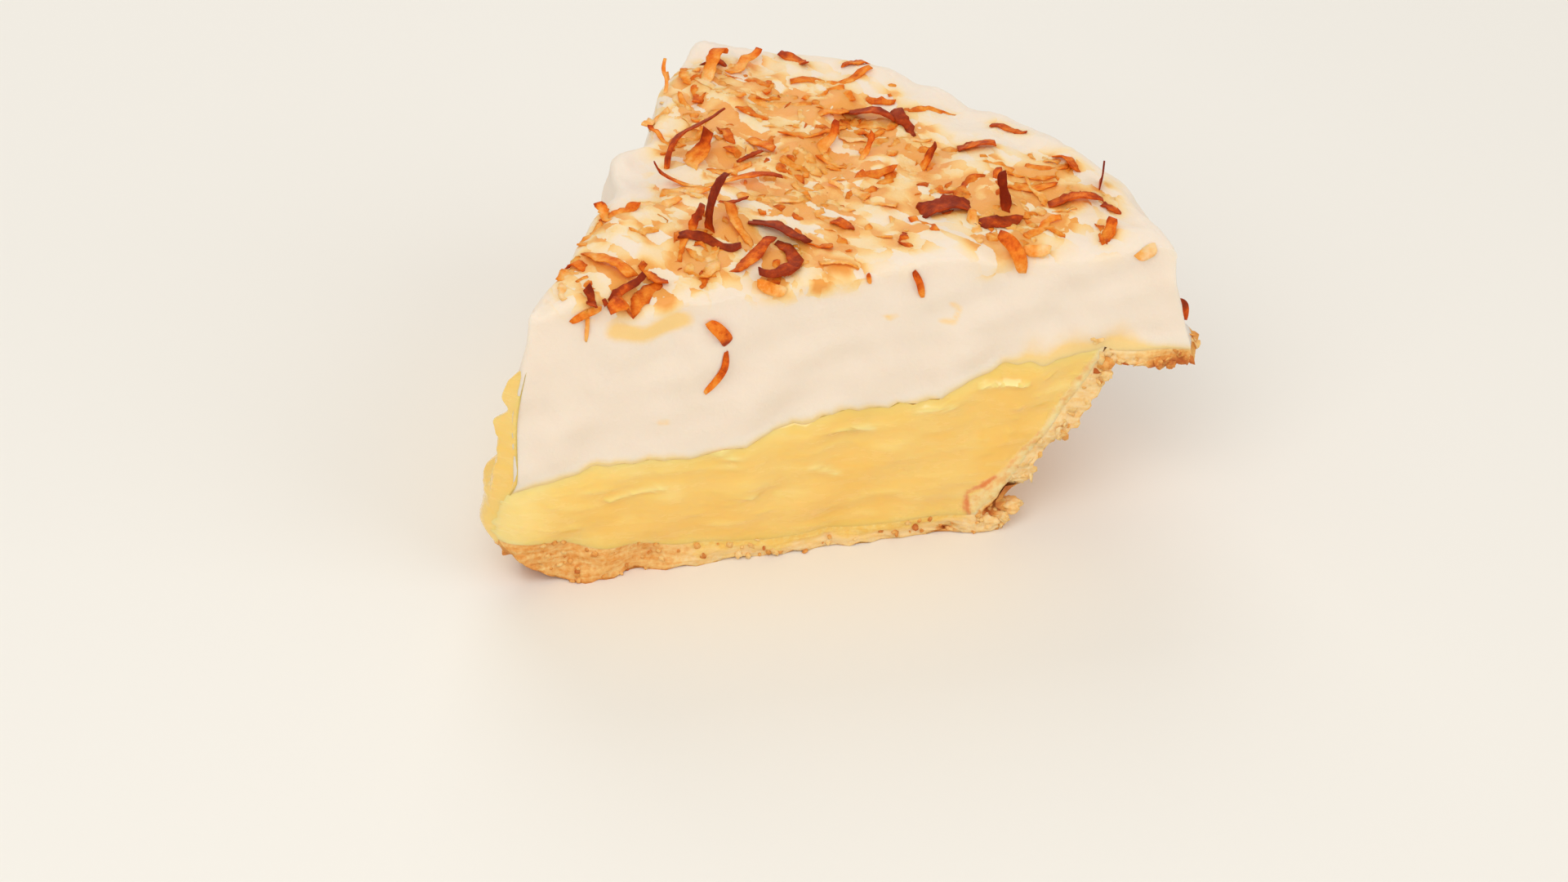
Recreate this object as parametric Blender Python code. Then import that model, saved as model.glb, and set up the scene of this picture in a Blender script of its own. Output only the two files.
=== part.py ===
"""Coconut meringue pie slice: a flaky crust, a custard filling and a tall meringue with toasted coconut.

Blender 4.5, metres, +Z up. The slice lies flat as it was served. Its tip points to -X, its rounded outer
side to +X, and the origin is on the ground below the middle of its bounding box.

The shape is worked out in slice coordinates first: the tip of the crust is the origin, +X halves the angle
between the two cuts, and lengths are millimetres. Three layers share one lattice of rings. A ring is a
line of points at one step from the tip to the rim, so that two layers that touch have matching points and
keep an even gap.
"""

import math

import bmesh
import bpy
import numpy as np
from mathutils import Euler, Matrix, Vector
from mathutils.bvhtree import BVHTree

MM = 0.001

# The whole pie, of which this is a sixth. The cuts met past the middle, so its centre is off the tip.
SLICE_ANGLE = math.radians(60)
PIE_CENTRE = np.array([12.7, -19.0])
FOOTPRINT_MIDDLE = np.array([63.42, -5.46])
BASE_RADIUS = 74.5
INNER_BASE_RADIUS = 69.0
CUSTARD_RADIUS = 93.4
MERINGUE_RADIUS = 102.4

# The lattice: rings up to the crust's lip hold custard, and the rest lie on the flange.
RINGS = 20
LIP_RING = 16
BASE_RING = 8
CRUST_LEVELS = 2
CUSTARD_LEVELS = 3
MERINGUE_LEVELS = 5

GAP = 0.32
TOP_HEIGHT = 61.0
TIP_BOW = 10.0
TIP_BOW_LENGTH = 15.0
CRUST_THICKNESS = 4.0
TIP_CRUST_EXTRA = 6.8
TIP_CRUST_REACH = 24.0
TIP_SLUMP = 3.0
TIP_SLUMP_REACH = 9.0
TIP_BULGE = 3.2
TIP_BULGE_PLACE = 7.0
TIP_BULGE_REACH = 10.0

# Share of the way from the tip to the foot of the wall, at rings 0 to BASE_RING.
BASE_STEPS = [0.0, 0.05, 0.11, 0.20, 0.33, 0.49, 0.66, 0.83, 1.0]

# Radius from the pie's centre and height, at rings BASE_RING + 1 to RINGS.
CRUST_OUTSIDE = [
    (79.3, 1.2), (80.6, 6.5), (80.3, 12.3), (83.8, 18.0), (88.3, 22.8), (91.5, 27.8),
    (93.9, 32.0), (95.8, 34.4), (98.6, 34.2), (103.0, 33.7), (108.0, 33.2), (112.0, 33.9),
]
CRUST_INSIDE = [
    (71.5, 4.9), (74.3, 7.4), (77.2, 11.4), (80.4, 16.6), (84.2, 22.0), (87.6, 27.4),
    (90.6, 32.5), (93.0, 36.9), (95.6, 37.3), (101.5, 37.4), (107.0, 36.8), (111.2, 36.3),
]
MERINGUE_WALL = [(104.6, 60.2), (106.0, 57.4), (107.0, 51.5), (108.2, 45.2), (110.6, 38.6)]

# Height of the custard against its share of the way from the tip to the lip.
CUSTARD_SHARE = [0.0, 0.12, 0.25, 0.53, 0.67, 0.80, 1.0]
CUSTARD_HEIGHT = [20.5, 23.8, 25.3, 28.5, 31.2, 34.7, 38.5]

# How far the top edge leans in at the far cut, against the distance along that cut, and how both cuts'
# unevenness fades into the slice.
FAR_ALONG = [0, 12, 24, 33, 41, 48, 54, 59, 62, 65, 72, 80, 88, 95, 104, 115]
FAR_INSET = [5.2, 5.4, 5.4, 6.2, 7.4, 6.0, 3.8, 2.0, 2.6, 6.0, 5.4, 4.6, 3.6, 5.4, 5.6, 5.2]
FAR_LEAN = 5.2
FAR_FADE = 16.0
NEAR_FADE = 9.0

# Crimps pressed into the rim, counted round the whole pie.
CRIMPS = 46
CRIMP_HEIGHT = 0.7
CRIMP_REACH = 1.1

# The shreds of coconut that stand out: middle x, y, heading, length, width, turn, and the climb in degrees
# at the start, the middle and the end.
STANDING_SHREDS = [
    # The back corner
    (85, 34, 24, 11, 2.8, 10, 20, 25, -70),
    (87, 36, -60, 6, 2.2, 20, 30, 0, -40),
    (92, 33, 11, 10.5, 2.6, 10, 5, 15, 15),
    (101, 28, -93, 8, 2.6, -40, -20, 0, 30),
    (109, 19, -35, 6, 3.0, 0, 10, 5, 0),
    (101, 18, -36, 16, 1.9, 30, 0, 0, 15),
    (87, 18, -47, 12, 2.6, 15, 0, 0, 0),
    # The far edge, with a tall arch and a broad leaf under it
    (75, 37, 48, 8, 0.8, 0, 70, 80, 85),
    (63, 26, -100, 7, 1.1, 20, -45, -20, 0),
    (62, 17, -3, 17, 2.0, -35, 85, 15, 25),
    (62, 14, 21, 9, 4.2, 10, 25, 25, 30),
    (71, 16, -114, 5.5, 2.2, 10, 25, 0, -15),
    (74, 10, -91, 7.5, 2.2, 10, 25, 5, 0),
    (69, 8, -41, 5, 1.3, 30, 10, 20, 0),
    (57, 5, -37, 26, 2.2, -30, -75, 8, -6),
    # The middle and the outer edge
    (92, 9, -30, 6.5, 1.8, 20, 45, 10, -5),
    (84, 2, 8, 7, 2.4, 10, 30, 35, 45),
    (97, 4, -65, 11, 3.0, 0, 35, 5, -35),
    (96, 2, -57, 9, 3.8, 0, 0, 0, 0),
    (103, 7, -65, 6, 2.0, 10, 15, 5, -10),
    (100, -2, -110, 10, 2.8, 10, 20, -5, -15),
    (87, -5, 9, 6, 1.2, 10, 30, 45, 60),
    (83, -11, -40, 7.5, 2.2, -15, 0, 5, 25),
    (107, -2, -39, 10, 1.5, 10, 0, 0, 0),
    (103, -18, -53, 7, 3.0, 0, 10, 10, -10),
    (113, -17, -76, 7.5, 2.0, 0, 5, 0, 5),
    (93, -15, -40, 6, 2.6, 0, 60, 60, 75),
    # The near right, with two spikes and a dark dome
    (92, -35, 72, 8, 2.0, 20, 70, 75, 80),
    (83, -29, -36, 10, 4.6, 0, 30, 0, -35),
    (88, -38, -16, 9, 3.6, 30, 10, 5, 0),
    (101, -34, -39, 9, 2.6, 0, 5, 0, 10),
    (107, -32, -52, 8, 1.5, 0, 0, 0, 10),
    (66, -19, -74, 5, 3.0, 0, 30, 0, -10),
    (93, -44, 0, 9, 1.8, -30, 0, 5, 10),
    (103, -43, -49, 10, 3.0, 0, 10, 10, -10),
    (110, -43, -45, 6.5, 3.0, 0, 80, 85, 90),
    (111, -34, -103, 6.5, 2.8, 0, 25, 0, -10),
    (107, -48, -66, 4.5, 2.2, 0, 40, 0, -30),
    (101, -53, 22, 5.5, 2.6, 0, 0, 15, 30),
    # The dark group, with a tall hook
    (45, -7, 0, 13, 2.6, 0, 100, 80, 5),
    (44, -4, 20, 8, 1.8, 30, 85, 30, -50),
    (55, -2, -36, 5.5, 1.2, 0, 5, 15, 25),
    (42, -9, -57, 12, 2.4, 25, 20, -5, 25),
    (49, -10, -106, 11, 2.3, 15, -15, -12, 0),
    (55, -14, -78, 13, 3.2, -40, 15, 5, -15),
    (45, -17, 7, 12, 3.0, -20, 0, 10, 15),
    (49, -21, -150, 17, 3.2, -150, 5, 5, 10),
    (56, -28, -55, 7, 3.2, 0, 0, 0, 0),
    (62, -5, -39, 13, 2.4, 20, 0, 0, 0),
    (66, -13, -104, 10, 2.4, 10, 0, 0, 0),
    # The tip
    (34, 10, -104, 6, 2.4, 10, -50, -30, 0),
    (36, 8, -15, 7, 2.2, 10, 0, 5, 35),
    (20, 2, -92, 4.5, 2.8, 0, 10, -10, -20),
    (24, -2, -83, 11, 3.0, 15, 20, 5, -5),
    (21, -9, -1, 10, 1.8, 10, 10, 15, 20),
    (22, -11, 2, 13, 3.6, 0, 5, 0, 0),
    (15, -7, -116, 5, 2.0, 0, -30, -10, 20),
    (13, -2, -129, 5, 2.0, 0, 0, 0, 0),
]

# The rest lie scattered, placed by a seeded draw of heading, length, width, turn and the three climbs. None
# lies in the white patches: ellipses given by middle, half length, half width and turn in degrees.
SCATTER_SEED = 7
SCATTER_DRAWS = 500
SCATTER_SPACING = 5.2
BARE_CUT = 6.0
BARE_RIM = 10.0
SHRED_SMALLEST = (-180, 4.5, 1.6, -50, -20, 0, 0)
SHRED_LARGEST = (180, 10, 3.2, 50, 10, 5, 25)
WHITE_PATCHES = [
    (47, 15, 17, 7, 27), (32, -4, 3.5, 7, 0), (60, -1, 5, 3, -35), (78, 24, 3, 5, 60),
    (60, -27, 6, 3, -30), (83, -18, 5, 2.5, -10), (98, 24, 4, 6, 80), (76, -4, 4, 2.5, 60),
    (108, -10, 6, 9, 90), (96, -24, 3, 4, 0),
]
SHRED_STEP = 2.8
SHRED_STEPS = (3, 6)
SHRED_THICKNESS = 0.85
SHRED_SINK = 0.40
STEEP_SINK = 0.9

# The broken edge of the crust: teeth at its toe, given by distance along the near cut, height and half
# sizes along the cut, across it and up, and lumps drawn along both cuts. Each is set in by a little.
TOE_NOTCH = 3.4
TOE_NOTCH_FADE = 4.0
TOE_TEETH = [
    (99.2, 11.2, 2.0, 1.6, 1.2),
    (97.6, 4.3, 2.8, 1.8, 1.3),
    (93.2, 2.0, 2.0, 1.4, 1.5),
]
LUMP_SEED = 21
LUMPS = 28
LUMP_RINGS = (1.5, 19.0)
LUMP_LEVEL = 0.25
LUMP_SIZE = (0.7, 1.5)
TOOTH_INSET = 1.0
LUMP_INSET = 0.2

CRUST_COLOUR = (0.72, 0.46, 0.20, 1.0)
CUSTARD_COLOUR = (0.93, 0.62, 0.16, 1.0)
MERINGUE_COLOUR = (0.90, 0.80, 0.66, 1.0)


def waves(points, wavelength, seed, count=7):
    """Smooth relief of about unit height: the sum of plane waves in seeded directions, over x, y and z."""
    draw = np.random.default_rng(seed)
    direction = draw.normal(size=(count, 3))
    direction /= np.linalg.norm(direction, axis=1)[:, None]
    pitch = 2 * math.pi / (wavelength * draw.uniform(0.75, 1.35, count))
    phase = draw.uniform(0, 2 * math.pi, count)
    angle = points @ (direction * pitch[:, None]).T + phase
    return np.sin(angle).sum(axis=1) / math.sqrt(count / 2)


def step(value, low, high):
    """Rises smoothly from 0 at low to 1 at high."""
    share = np.clip((value - low) / (high - low), 0, 1)
    return share * share * (3 - 2 * share)


def reach(angle, radius):
    """Distance from the tip, along an angle from +X, to the circle of that radius round the pie's centre."""
    along = PIE_CENTRE[0] * np.cos(angle) + PIE_CENTRE[1] * np.sin(angle)
    return along + np.sqrt(along**2 - PIE_CENTRE @ PIE_CENTRE + radius**2)


def place(angle, share, radius, height):
    """Points at a share of the way from the tip to the circle of the given radius."""
    distance = share * reach(angle, radius)
    return np.column_stack([distance * np.cos(angle), distance * np.sin(angle), height])


def ring_table(inner_radius, steps, wall):
    """Share, radius and height at each ring: the steps over the base, and then the wall's own points."""
    shares = list(steps) + [1.0] * len(wall)
    radii = [inner_radius] * len(steps) + [radius for radius, _ in wall]
    heights = [0.0] * len(steps) + [height for _, height in wall]
    return np.array(shares), np.array(radii), np.array(heights)


def crimp(points):
    """From -1 to 1 round the rim, and how much a point at this distance from the pie's centre takes of it."""
    offset = points[:, :2] - PIE_CENTRE
    radius = np.hypot(offset[:, 0], offset[:, 1])
    turn = np.arctan2(offset[:, 1], offset[:, 0])
    uneven = 0.35 * np.sin(turn * 17 + 0.6) + 0.25 * np.sin(turn * 31 + 2.0)
    return np.sin(turn * CRIMPS + 1.6 * uneven), step(radius, 98.0, 110.0)


def crimped(points):
    """The points of the flange, raised and let out by the crimps."""
    wave, amount = crimp(points)
    outward = points[:, :2] - PIE_CENTRE
    outward = outward / np.linalg.norm(outward, axis=1)[:, None]
    points = points.copy()
    points[:, 2] += CRIMP_HEIGHT * wave * amount
    points[:, :2] += outward * (CRIMP_REACH * wave * amount)[:, None]
    return points


def crust_outside(ring, angle):
    """The side of the crust that stood against the pan, which curves up like a bow at the tip."""
    shares, radii, heights = ring_table(BASE_RADIUS, BASE_STEPS, CRUST_OUTSIDE)
    points = place(angle, shares[ring], radii[ring], heights[ring])
    from_tip = np.hypot(points[:, 0], points[:, 1])
    bow = TIP_BOW * np.clip(1 - from_tip / TIP_BOW_LENGTH, 0, 1) ** 2
    points[:, 2] += np.where(ring <= BASE_RING, bow, 0)
    points = crimped(points)
    wall = step(ring.astype(float), BASE_RING, BASE_RING + 1.5)
    outward = points[:, :2] - PIE_CENTRE
    outward /= np.linalg.norm(outward, axis=1)[:, None]
    crags = 0.75 * waves(points, 7.0, 11) + 0.45 * waves(points, 3.6, 12)
    on_wall = wall * (1 - 0.6 * step(points[:, 2], 31.0, 34.0))
    points[:, :2] += outward * (crags * on_wall)[:, None]
    points[:, 2] += 0.4 * waves(points, 6.0, 13) * step(points[:, 2], 5.0, 30.0)
    near, _ = cut_distances(points)
    notch = TOE_NOTCH * wall * (1 - step(points[:, 2], 6.0, 12.0)) * np.exp(-near / TOE_NOTCH_FADE)
    points[:, :2] -= outward * notch[:, None]
    return points


def crust_inside(ring, angle):
    """The side of the crust that the custard and the meringue lie on, thicker under the tip."""
    shares, radii, heights = ring_table(INNER_BASE_RADIUS, BASE_STEPS, CRUST_INSIDE)
    points = place(angle, shares[ring], radii[ring], heights[ring])
    from_tip = np.hypot(points[:, 0], points[:, 1])
    floor = CRUST_THICKNESS + TIP_CRUST_EXTRA * np.exp(-((from_tip / TIP_CRUST_REACH) ** 2))
    tip_edge = TIP_BOW * np.clip(1 - from_tip / TIP_BOW_LENGTH, 0, 1) ** 2 + 1.0
    base = ring <= BASE_RING
    points[:, 2] = np.where(base, np.maximum(floor, tip_edge), points[:, 2])
    points[:, 2] += 0.35 * waves(points, 14.0, 21)
    return crimped(points)


def custard_top(ring, angle):
    """The wavy line between custard and meringue, which climbs from the tip to the lip of the crust."""
    steps = [share * 0.785 for share in BASE_STEPS] + [0.785 + 0.215 * k / 8 for k in range(1, 9)]
    share = np.array(steps)[ring]
    points = place(angle, share, CUSTARD_RADIUS, np.interp(share, CUSTARD_SHARE, CUSTARD_HEIGHT))
    settle = step(share, 0.02, 0.2) * (1 - step(share, 0.88, 1.0))
    points[:, 2] += settle * (0.8 * waves(points, 32.0, 31) + 0.35 * waves(points, 13.0, 32))
    return points


def meringue_underside(ring, angle):
    """The custard's top, and past the lip the top of the flange."""
    inner = custard_top(np.minimum(ring, LIP_RING), angle)
    outer = crust_inside(ring, angle)
    points = np.where((ring <= LIP_RING)[:, None], inner, outer)
    points[:, 2] += GAP
    return points


def meringue_outside(ring, angle):
    """The level top, the soft shoulder and the side that runs down to the rim."""
    wall = MERINGUE_WALL
    top_rings = RINGS - len(wall)
    knots = np.linspace(0, top_rings, 9)
    steps = np.interp(np.arange(top_rings + 1), knots, [0, 0.1, 0.235, 0.385, 0.535, 0.68, 0.82, 0.93, 1])
    shares, radii, heights = ring_table(MERINGUE_RADIUS, steps, wall)
    heights[: top_rings + 1] = TOP_HEIGHT
    points = place(angle, shares[ring], radii[ring], heights[ring])
    on_top = step(points[:, 2], 50.0, 59.0)
    points[:, 2] += on_top * (0.75 * waves(points, 34.0, 41) + 0.35 * waves(points, 12.0, 42))
    from_cut = np.minimum(*cut_distances(points))
    from_tip = np.hypot(points[:, 0], points[:, 1])
    points[:, 2] -= on_top * 0.9 * np.exp(-((from_cut / 2.4) ** 2))
    points[:, 2] -= on_top * TIP_SLUMP * np.exp(-((from_tip / TIP_SLUMP_REACH) ** 2))
    outward = points[:, :2] - PIE_CENTRE
    outward /= np.linalg.norm(outward, axis=1)[:, None]
    side = step(ring.astype(float), top_rings, top_rings + 2)
    lumps = 0.8 * waves(points, 16.0, 43) * side
    points[:, :2] += outward * lumps[:, None]
    return points


def cut_distances(points):
    """How far each point is inside the near cut, at -Y, and inside the far cut, at +Y."""
    half = SLICE_ANGLE / 2
    inward_x, inward_y = math.sin(half), math.cos(half)
    near = points[:, 0] * inward_x + points[:, 1] * inward_y
    far = points[:, 0] * inward_x - points[:, 1] * inward_y
    return near, far


def cut_relief(points):
    """What the knife and gravity left: a blunt tip, sagging custard and a far cut that leans inwards.

    Each cut moves by an amount that fades into the slice, and to nothing at the other cut. The custard sags
    most on the far cut by the tip, where it bulges.
    """
    x, y, z = points.T
    blunt = 1.6 + 0.035 * np.clip(z - 10, 0, 50)
    x = np.hypot(x, blunt)
    near, far = cut_distances(np.column_stack([x, y]))
    half = SLICE_ANGLE / 2
    share = np.clip(np.hypot(x, y) / 112, 0, 1)
    line = np.interp(share, CUSTARD_SHARE, CUSTARD_HEIGHT)
    sag = step(z, 6.0, 13.0) * (1 - step(z, line - 2.5, line + 2.5))
    off_tip = step(x, 0.0, 14.0)
    lean = FAR_LEAN * np.clip((z - 12) / (TOP_HEIGHT - 12), 0, 1.2)
    along = x * math.cos(half) + y * math.sin(half)
    inset = np.interp(along, FAR_ALONG, FAR_INSET)
    bulge = TIP_BULGE * np.exp(-(((along - TIP_BULGE_PLACE) / TIP_BULGE_REACH) ** 2))
    edge = (inset - FAR_LEAN) * step(z, 34.0, 52.0)
    near_out = 0.8 * sag + 0.45 * waves(points, 15.0, 51) + 0.10 * waves(points, 7.0, 52)
    far_out = (1.9 + bulge) * sag - (lean + edge) * off_tip + 0.6 * waves(points, 17.0, 53)
    near_out *= np.exp(-near / NEAR_FADE) * far / (near + far)
    far_out *= np.exp(-far / FAR_FADE) * near / (near + far)
    x = x - math.sin(half) * (near_out + far_out)
    y = y - math.cos(half) * (near_out - far_out)
    return np.column_stack([x, y, z])


def lattice_cube(across, along, up):
    """A cube from 0 to 1 with its faces cut into a grid, as a BMesh."""
    cube = bmesh.new()
    bmesh.ops.create_cube(cube, size=1.0, matrix=Matrix.Translation((0.5, 0.5, 0.5)))
    for axis, pieces in enumerate((across, along, up)):
        edges = [edge for edge in cube.edges if abs((edge.verts[1].co - edge.verts[0].co)[axis]) > 0.5]
        bmesh.ops.subdivide_edges(cube, edges=edges, cuts=pieces - 1, use_grid_fill=True)
    return cube


def move_vertices(cube, points):
    """Gives the BMesh its new points, in millimetres of the slice, and turns them into the object's frame."""
    middle = np.append(FOOTPRINT_MIDDLE, 0)
    for vertex, point in zip(cube.verts, (points - middle) * MM):
        vertex.co = point


def finish(cube, name, collection, material):
    """Links the BMesh as an object of triangles."""
    bmesh.ops.triangulate(cube, faces=cube.faces)
    mesh = bpy.data.meshes.new(name)
    cube.to_mesh(mesh)
    cube.free()
    if material:
        mesh.materials.append(material)
    obj = bpy.data.objects.new(name, mesh)
    collection.objects.link(obj)
    return obj


def layer(name, rings, levels, lower, upper, material):
    """A slice-shaped block between a lower and an upper surface.

    The cube's corner at the tip spreads to the slice's angle. Its two sides there become the cuts, and its
    other two sides together make the outer arc.
    """
    cube = lattice_cube(rings, rings, levels)
    grid = np.array([vertex.co for vertex in cube.verts])
    i, j = np.rint(grid[:, 0] * rings), np.rint(grid[:, 1] * rings)
    ring = np.maximum(i, j).astype(int)
    turn = np.where(i >= j, 0.5 * j / np.maximum(i, 1), 1 - 0.5 * i / np.maximum(j, 1))
    turn[ring == 0] = 0.5
    angle = (turn - 0.5) * SLICE_ANGLE
    level = grid[:, 2][:, None]
    points = lower(ring, angle) * (1 - level) + upper(ring, angle) * level
    move_vertices(cube, cut_relief(points))
    return finish(cube, name, parts, material)


def custard_underside(ring, angle):
    """The crust's inside, a gap away from it."""
    points = crust_inside(ring, angle)
    on_wall = (ring > BASE_RING).astype(float)
    outward = points[:, :2] - PIE_CENTRE
    outward /= np.linalg.norm(outward, axis=1)[:, None]
    points[:, 2] += GAP
    points[:, :2] -= outward * (GAP * on_wall)[:, None]
    return points


def shred_path(shred, segments):
    """Points along the middle of a shred, its bearing at each, and how far its lowest end is to be sunk.

    It turns evenly, and its climb is the parabola through the climbs at its start, middle and end. Heights
    count from its lowest point.
    """
    x, y, heading, length, _, turn, start, middle, end = shred
    share = (np.arange(segments) + 0.5) / segments
    bearing = np.radians(heading + turn * (share - 0.5))
    climb = start * (1 - share) * (1 - 2 * share) + 4 * middle * share * (1 - share)
    climb = np.radians(climb + end * share * (2 * share - 1))
    steps = np.column_stack([np.cos(climb) * np.cos(bearing), np.cos(climb) * np.sin(bearing), np.sin(climb)])
    path = np.vstack([np.zeros(3), np.cumsum(steps * length / segments, axis=0)])
    path[:, :2] += np.array([x, y]) - path[:, :2].mean(axis=0)
    lowest = np.argmin(path[:, 2])
    path[:, 2] -= path[lowest, 2]
    steep = abs(math.sin(climb[min(lowest, segments - 1)]))
    bearings = np.radians(heading + turn * (np.linspace(0, 1, segments + 1) - 0.5))
    return path, bearings, SHRED_SINK + STEEP_SINK * steep**2


def surface_height(tree, x, y):
    """Height in millimetres of the meringue's top, found by looking down, and carried on past its edge."""
    spot = Vector(((x - FOOTPRINT_MIDDLE[0]) * MM, (y - FOOTPRINT_MIDDLE[1]) * MM, 0.1))
    hit = tree.ray_cast(spot, Vector((0, 0, -1)))[0]
    if hit is None or hit.z < (TOP_HEIGHT - 4.5) * MM:
        return TOP_HEIGHT - 1.0
    return hit.z / MM


def coconut_shred(name, shred, tree, collection):
    """One strip of coconut, sunk into the meringue where it lies on it."""
    fewest, most = SHRED_STEPS
    segments = min(max(round(shred[3] / SHRED_STEP), fewest), most)
    cube = lattice_cube(segments, 1, 1)
    grid = np.array([vertex.co for vertex in cube.verts])
    path, bearing, sink = shred_path(shred, segments)
    path[:, 2] += [surface_height(tree, x, y) for x, y, _ in path]
    path[:, 2] += SHRED_THICKNESS / 2 - sink
    forward = np.gradient(path, axis=0)
    forward /= np.linalg.norm(forward, axis=1)[:, None]
    side = np.column_stack([-np.sin(bearing), np.cos(bearing), 0 * bearing])
    up = np.cross(forward, side)
    k = np.rint(grid[:, 0] * segments).astype(int)
    taper = 1 - 0.3 * np.abs(2 * grid[:, 0] - 1) ** 4
    across = (grid[:, 1] - 0.5) * shred[4] * taper
    lift = (grid[:, 2] - 0.5) * SHRED_THICKNESS
    move_vertices(cube, path[k] + side[k] * across[:, None] + up[k] * lift[:, None])
    return finish(cube, name, collection, None)


def in_white_patch(x, y):
    """Whether a point is inside one of the ellipses that stay free of coconut."""
    for middle_x, middle_y, half_length, half_width, turn in WHITE_PATCHES:
        cos, sin = math.cos(math.radians(turn)), math.sin(math.radians(turn))
        along = (x - middle_x) * cos + (y - middle_y) * sin
        across = (y - middle_y) * cos - (x - middle_x) * sin
        if math.hypot(along / half_length, across / half_width) < 1:
            return True
    return False


def scattered_shreds():
    """Shreds drawn one by one, each kept if it is clear of edges, white patches and the ones before it."""
    draw = np.random.default_rng(SCATTER_SEED)
    taken = [shred[:2] for shred in STANDING_SHREDS]
    shreds = []
    for _ in range(SCATTER_DRAWS):
        angle = (draw.random() - 0.5) * SLICE_ANGLE
        distance = math.sqrt(draw.random()) * reach(angle, MERINGUE_RADIUS - BARE_RIM)
        spot = (distance * math.cos(angle), distance * math.sin(angle))
        shape = draw.uniform(SHRED_SMALLEST, SHRED_LARGEST)
        from_cut = min(cut_distances(np.array([spot])))[0]
        from_others = min(math.dist(spot, other) for other in taken)
        if from_cut > BARE_CUT and from_others > SCATTER_SPACING and not in_white_patch(*spot):
            taken.append(spot)
            shreds.append((*spot, *shape))
    return shreds


def crust_points(ring, angle, level):
    """Points of the crust at any ring, whole or not, a share of the way from its outside to its inside."""
    low = np.minimum(ring.astype(int), RINGS - 1)
    past = (ring - low)[:, None]
    level = level[:, None]
    near_tip, near_rim = (
        crust_outside(whole, angle) * (1 - level) + crust_inside(whole, angle) * level
        for whole in (low, low + 1)
    )
    return cut_relief(near_tip * (1 - past) + near_rim * past)


def crust_lumps(tree):
    """Middle, half sizes and turn of every tooth and lump on the crust's broken edges."""
    draw = np.random.default_rng(LUMP_SEED)
    angle = np.where(np.arange(LUMPS) % 2 == 1, 0.5, -0.5) * SLICE_ANGLE
    middles = crust_points(draw.uniform(*LUMP_RINGS, LUMPS), angle, draw.uniform(0, LUMP_LEVEL, LUMPS))
    sizes = draw.uniform(*LUMP_SIZE, (LUMPS, 1)) * draw.uniform(0.6, 1.0, (LUMPS, 3))
    turns = draw.uniform(-math.pi, math.pi, (LUMPS, 3))
    middles[:, 2] = np.maximum(middles[:, 2], sizes.max(axis=1) + 0.1)
    middles[:, :2] = [set_in(tree, middle)[:2] for middle in middles]
    cos, sin = math.cos(SLICE_ANGLE / 2), math.sin(SLICE_ANGLE / 2)
    along, height, *tooth_sizes = np.array(TOE_TEETH).T
    teeth = cut_relief(np.column_stack([along * cos, -along * sin, height]))
    teeth[:, :2] += TOOTH_INSET * np.array([sin, cos])
    tooth_turns = [(0.0, 0.0, -SLICE_ANGLE / 2)] * len(TOE_TEETH)
    return (
        np.vstack([teeth, middles]),
        np.vstack([np.transpose(tooth_sizes), sizes]),
        np.vstack([tooth_turns, turns]),
    )


def set_in(tree, point):
    """The point of the crust nearest to this one, moved in by a little."""
    middle = np.append(FOOTPRINT_MIDDLE, 0)
    spot, normal, _, _ = tree.find_nearest(Vector((point - middle) * MM))
    return np.array(spot) / MM + middle - LUMP_INSET * np.array(normal)


def crust_lump(name, middle, size, turn, collection):
    """One lump: the smallest icosphere, squashed and turned."""
    lump = bmesh.new()
    bmesh.ops.create_icosphere(lump, subdivisions=1, radius=1.0)
    corners = np.array([vertex.co for vertex in lump.verts]) * size
    move_vertices(lump, corners @ np.array(Euler(turn).to_matrix()).T + middle)
    return finish(lump, name, collection, None)


def clear_scene():
    for obj in list(bpy.data.objects):
        bpy.data.objects.remove(obj, do_unlink=True)


def food_material(name, colour, roughness):
    """A Principled material of one colour."""
    material = bpy.data.materials.new(name)
    material.use_nodes = True
    shader = material.node_tree.nodes["Principled BSDF"]
    shader.inputs["Base Color"].default_value = colour
    shader.inputs["Roughness"].default_value = roughness
    material.diffuse_color = colour
    return material


def fuse(body, make_bits):
    """Joins the small solids that the function makes in a collection to the body, so that all are one."""
    bits = bpy.data.collections.new("bits")
    bpy.context.scene.collection.children.link(bits)
    make_bits(bits)
    join = body.modifiers.new("bits", "BOOLEAN")
    join.operation = "UNION"
    join.operand_type = "COLLECTION"
    join.collection = bits
    join.solver = "MANIFOLD"
    bpy.context.view_layer.objects.active = body
    bpy.ops.object.modifier_apply(modifier=join.name)
    for obj in list(bits.objects):
        bpy.data.objects.remove(obj, do_unlink=True)
    bpy.data.collections.remove(bits)
    drop_scraps(body.data)


def drop_scraps(mesh):
    """Keeps only the largest closed surface, without loose scraps and hollows that fusing sealed."""
    solid = bmesh.new()
    solid.from_mesh(mesh)
    groups, unseen = [], set(solid.verts)
    while unseen:
        group, fresh = set(), {unseen.pop()}
        while fresh:
            group |= fresh
            fresh = {edge.other_vert(vertex) for vertex in fresh for edge in vertex.link_edges} - group
        unseen -= group
        groups.append(group)
    largest = max(groups, key=len)
    bmesh.ops.delete(solid, geom=[vertex for vertex in solid.verts if vertex not in largest], context="VERTS")
    solid.to_mesh(mesh)
    solid.free()


def surface_tree(body):
    """The body's faces, ready for rays and nearest points."""
    mesh = body.data
    return BVHTree.FromPolygons(
        [vertex.co for vertex in mesh.vertices], [polygon.vertices for polygon in mesh.polygons]
    )


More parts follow.
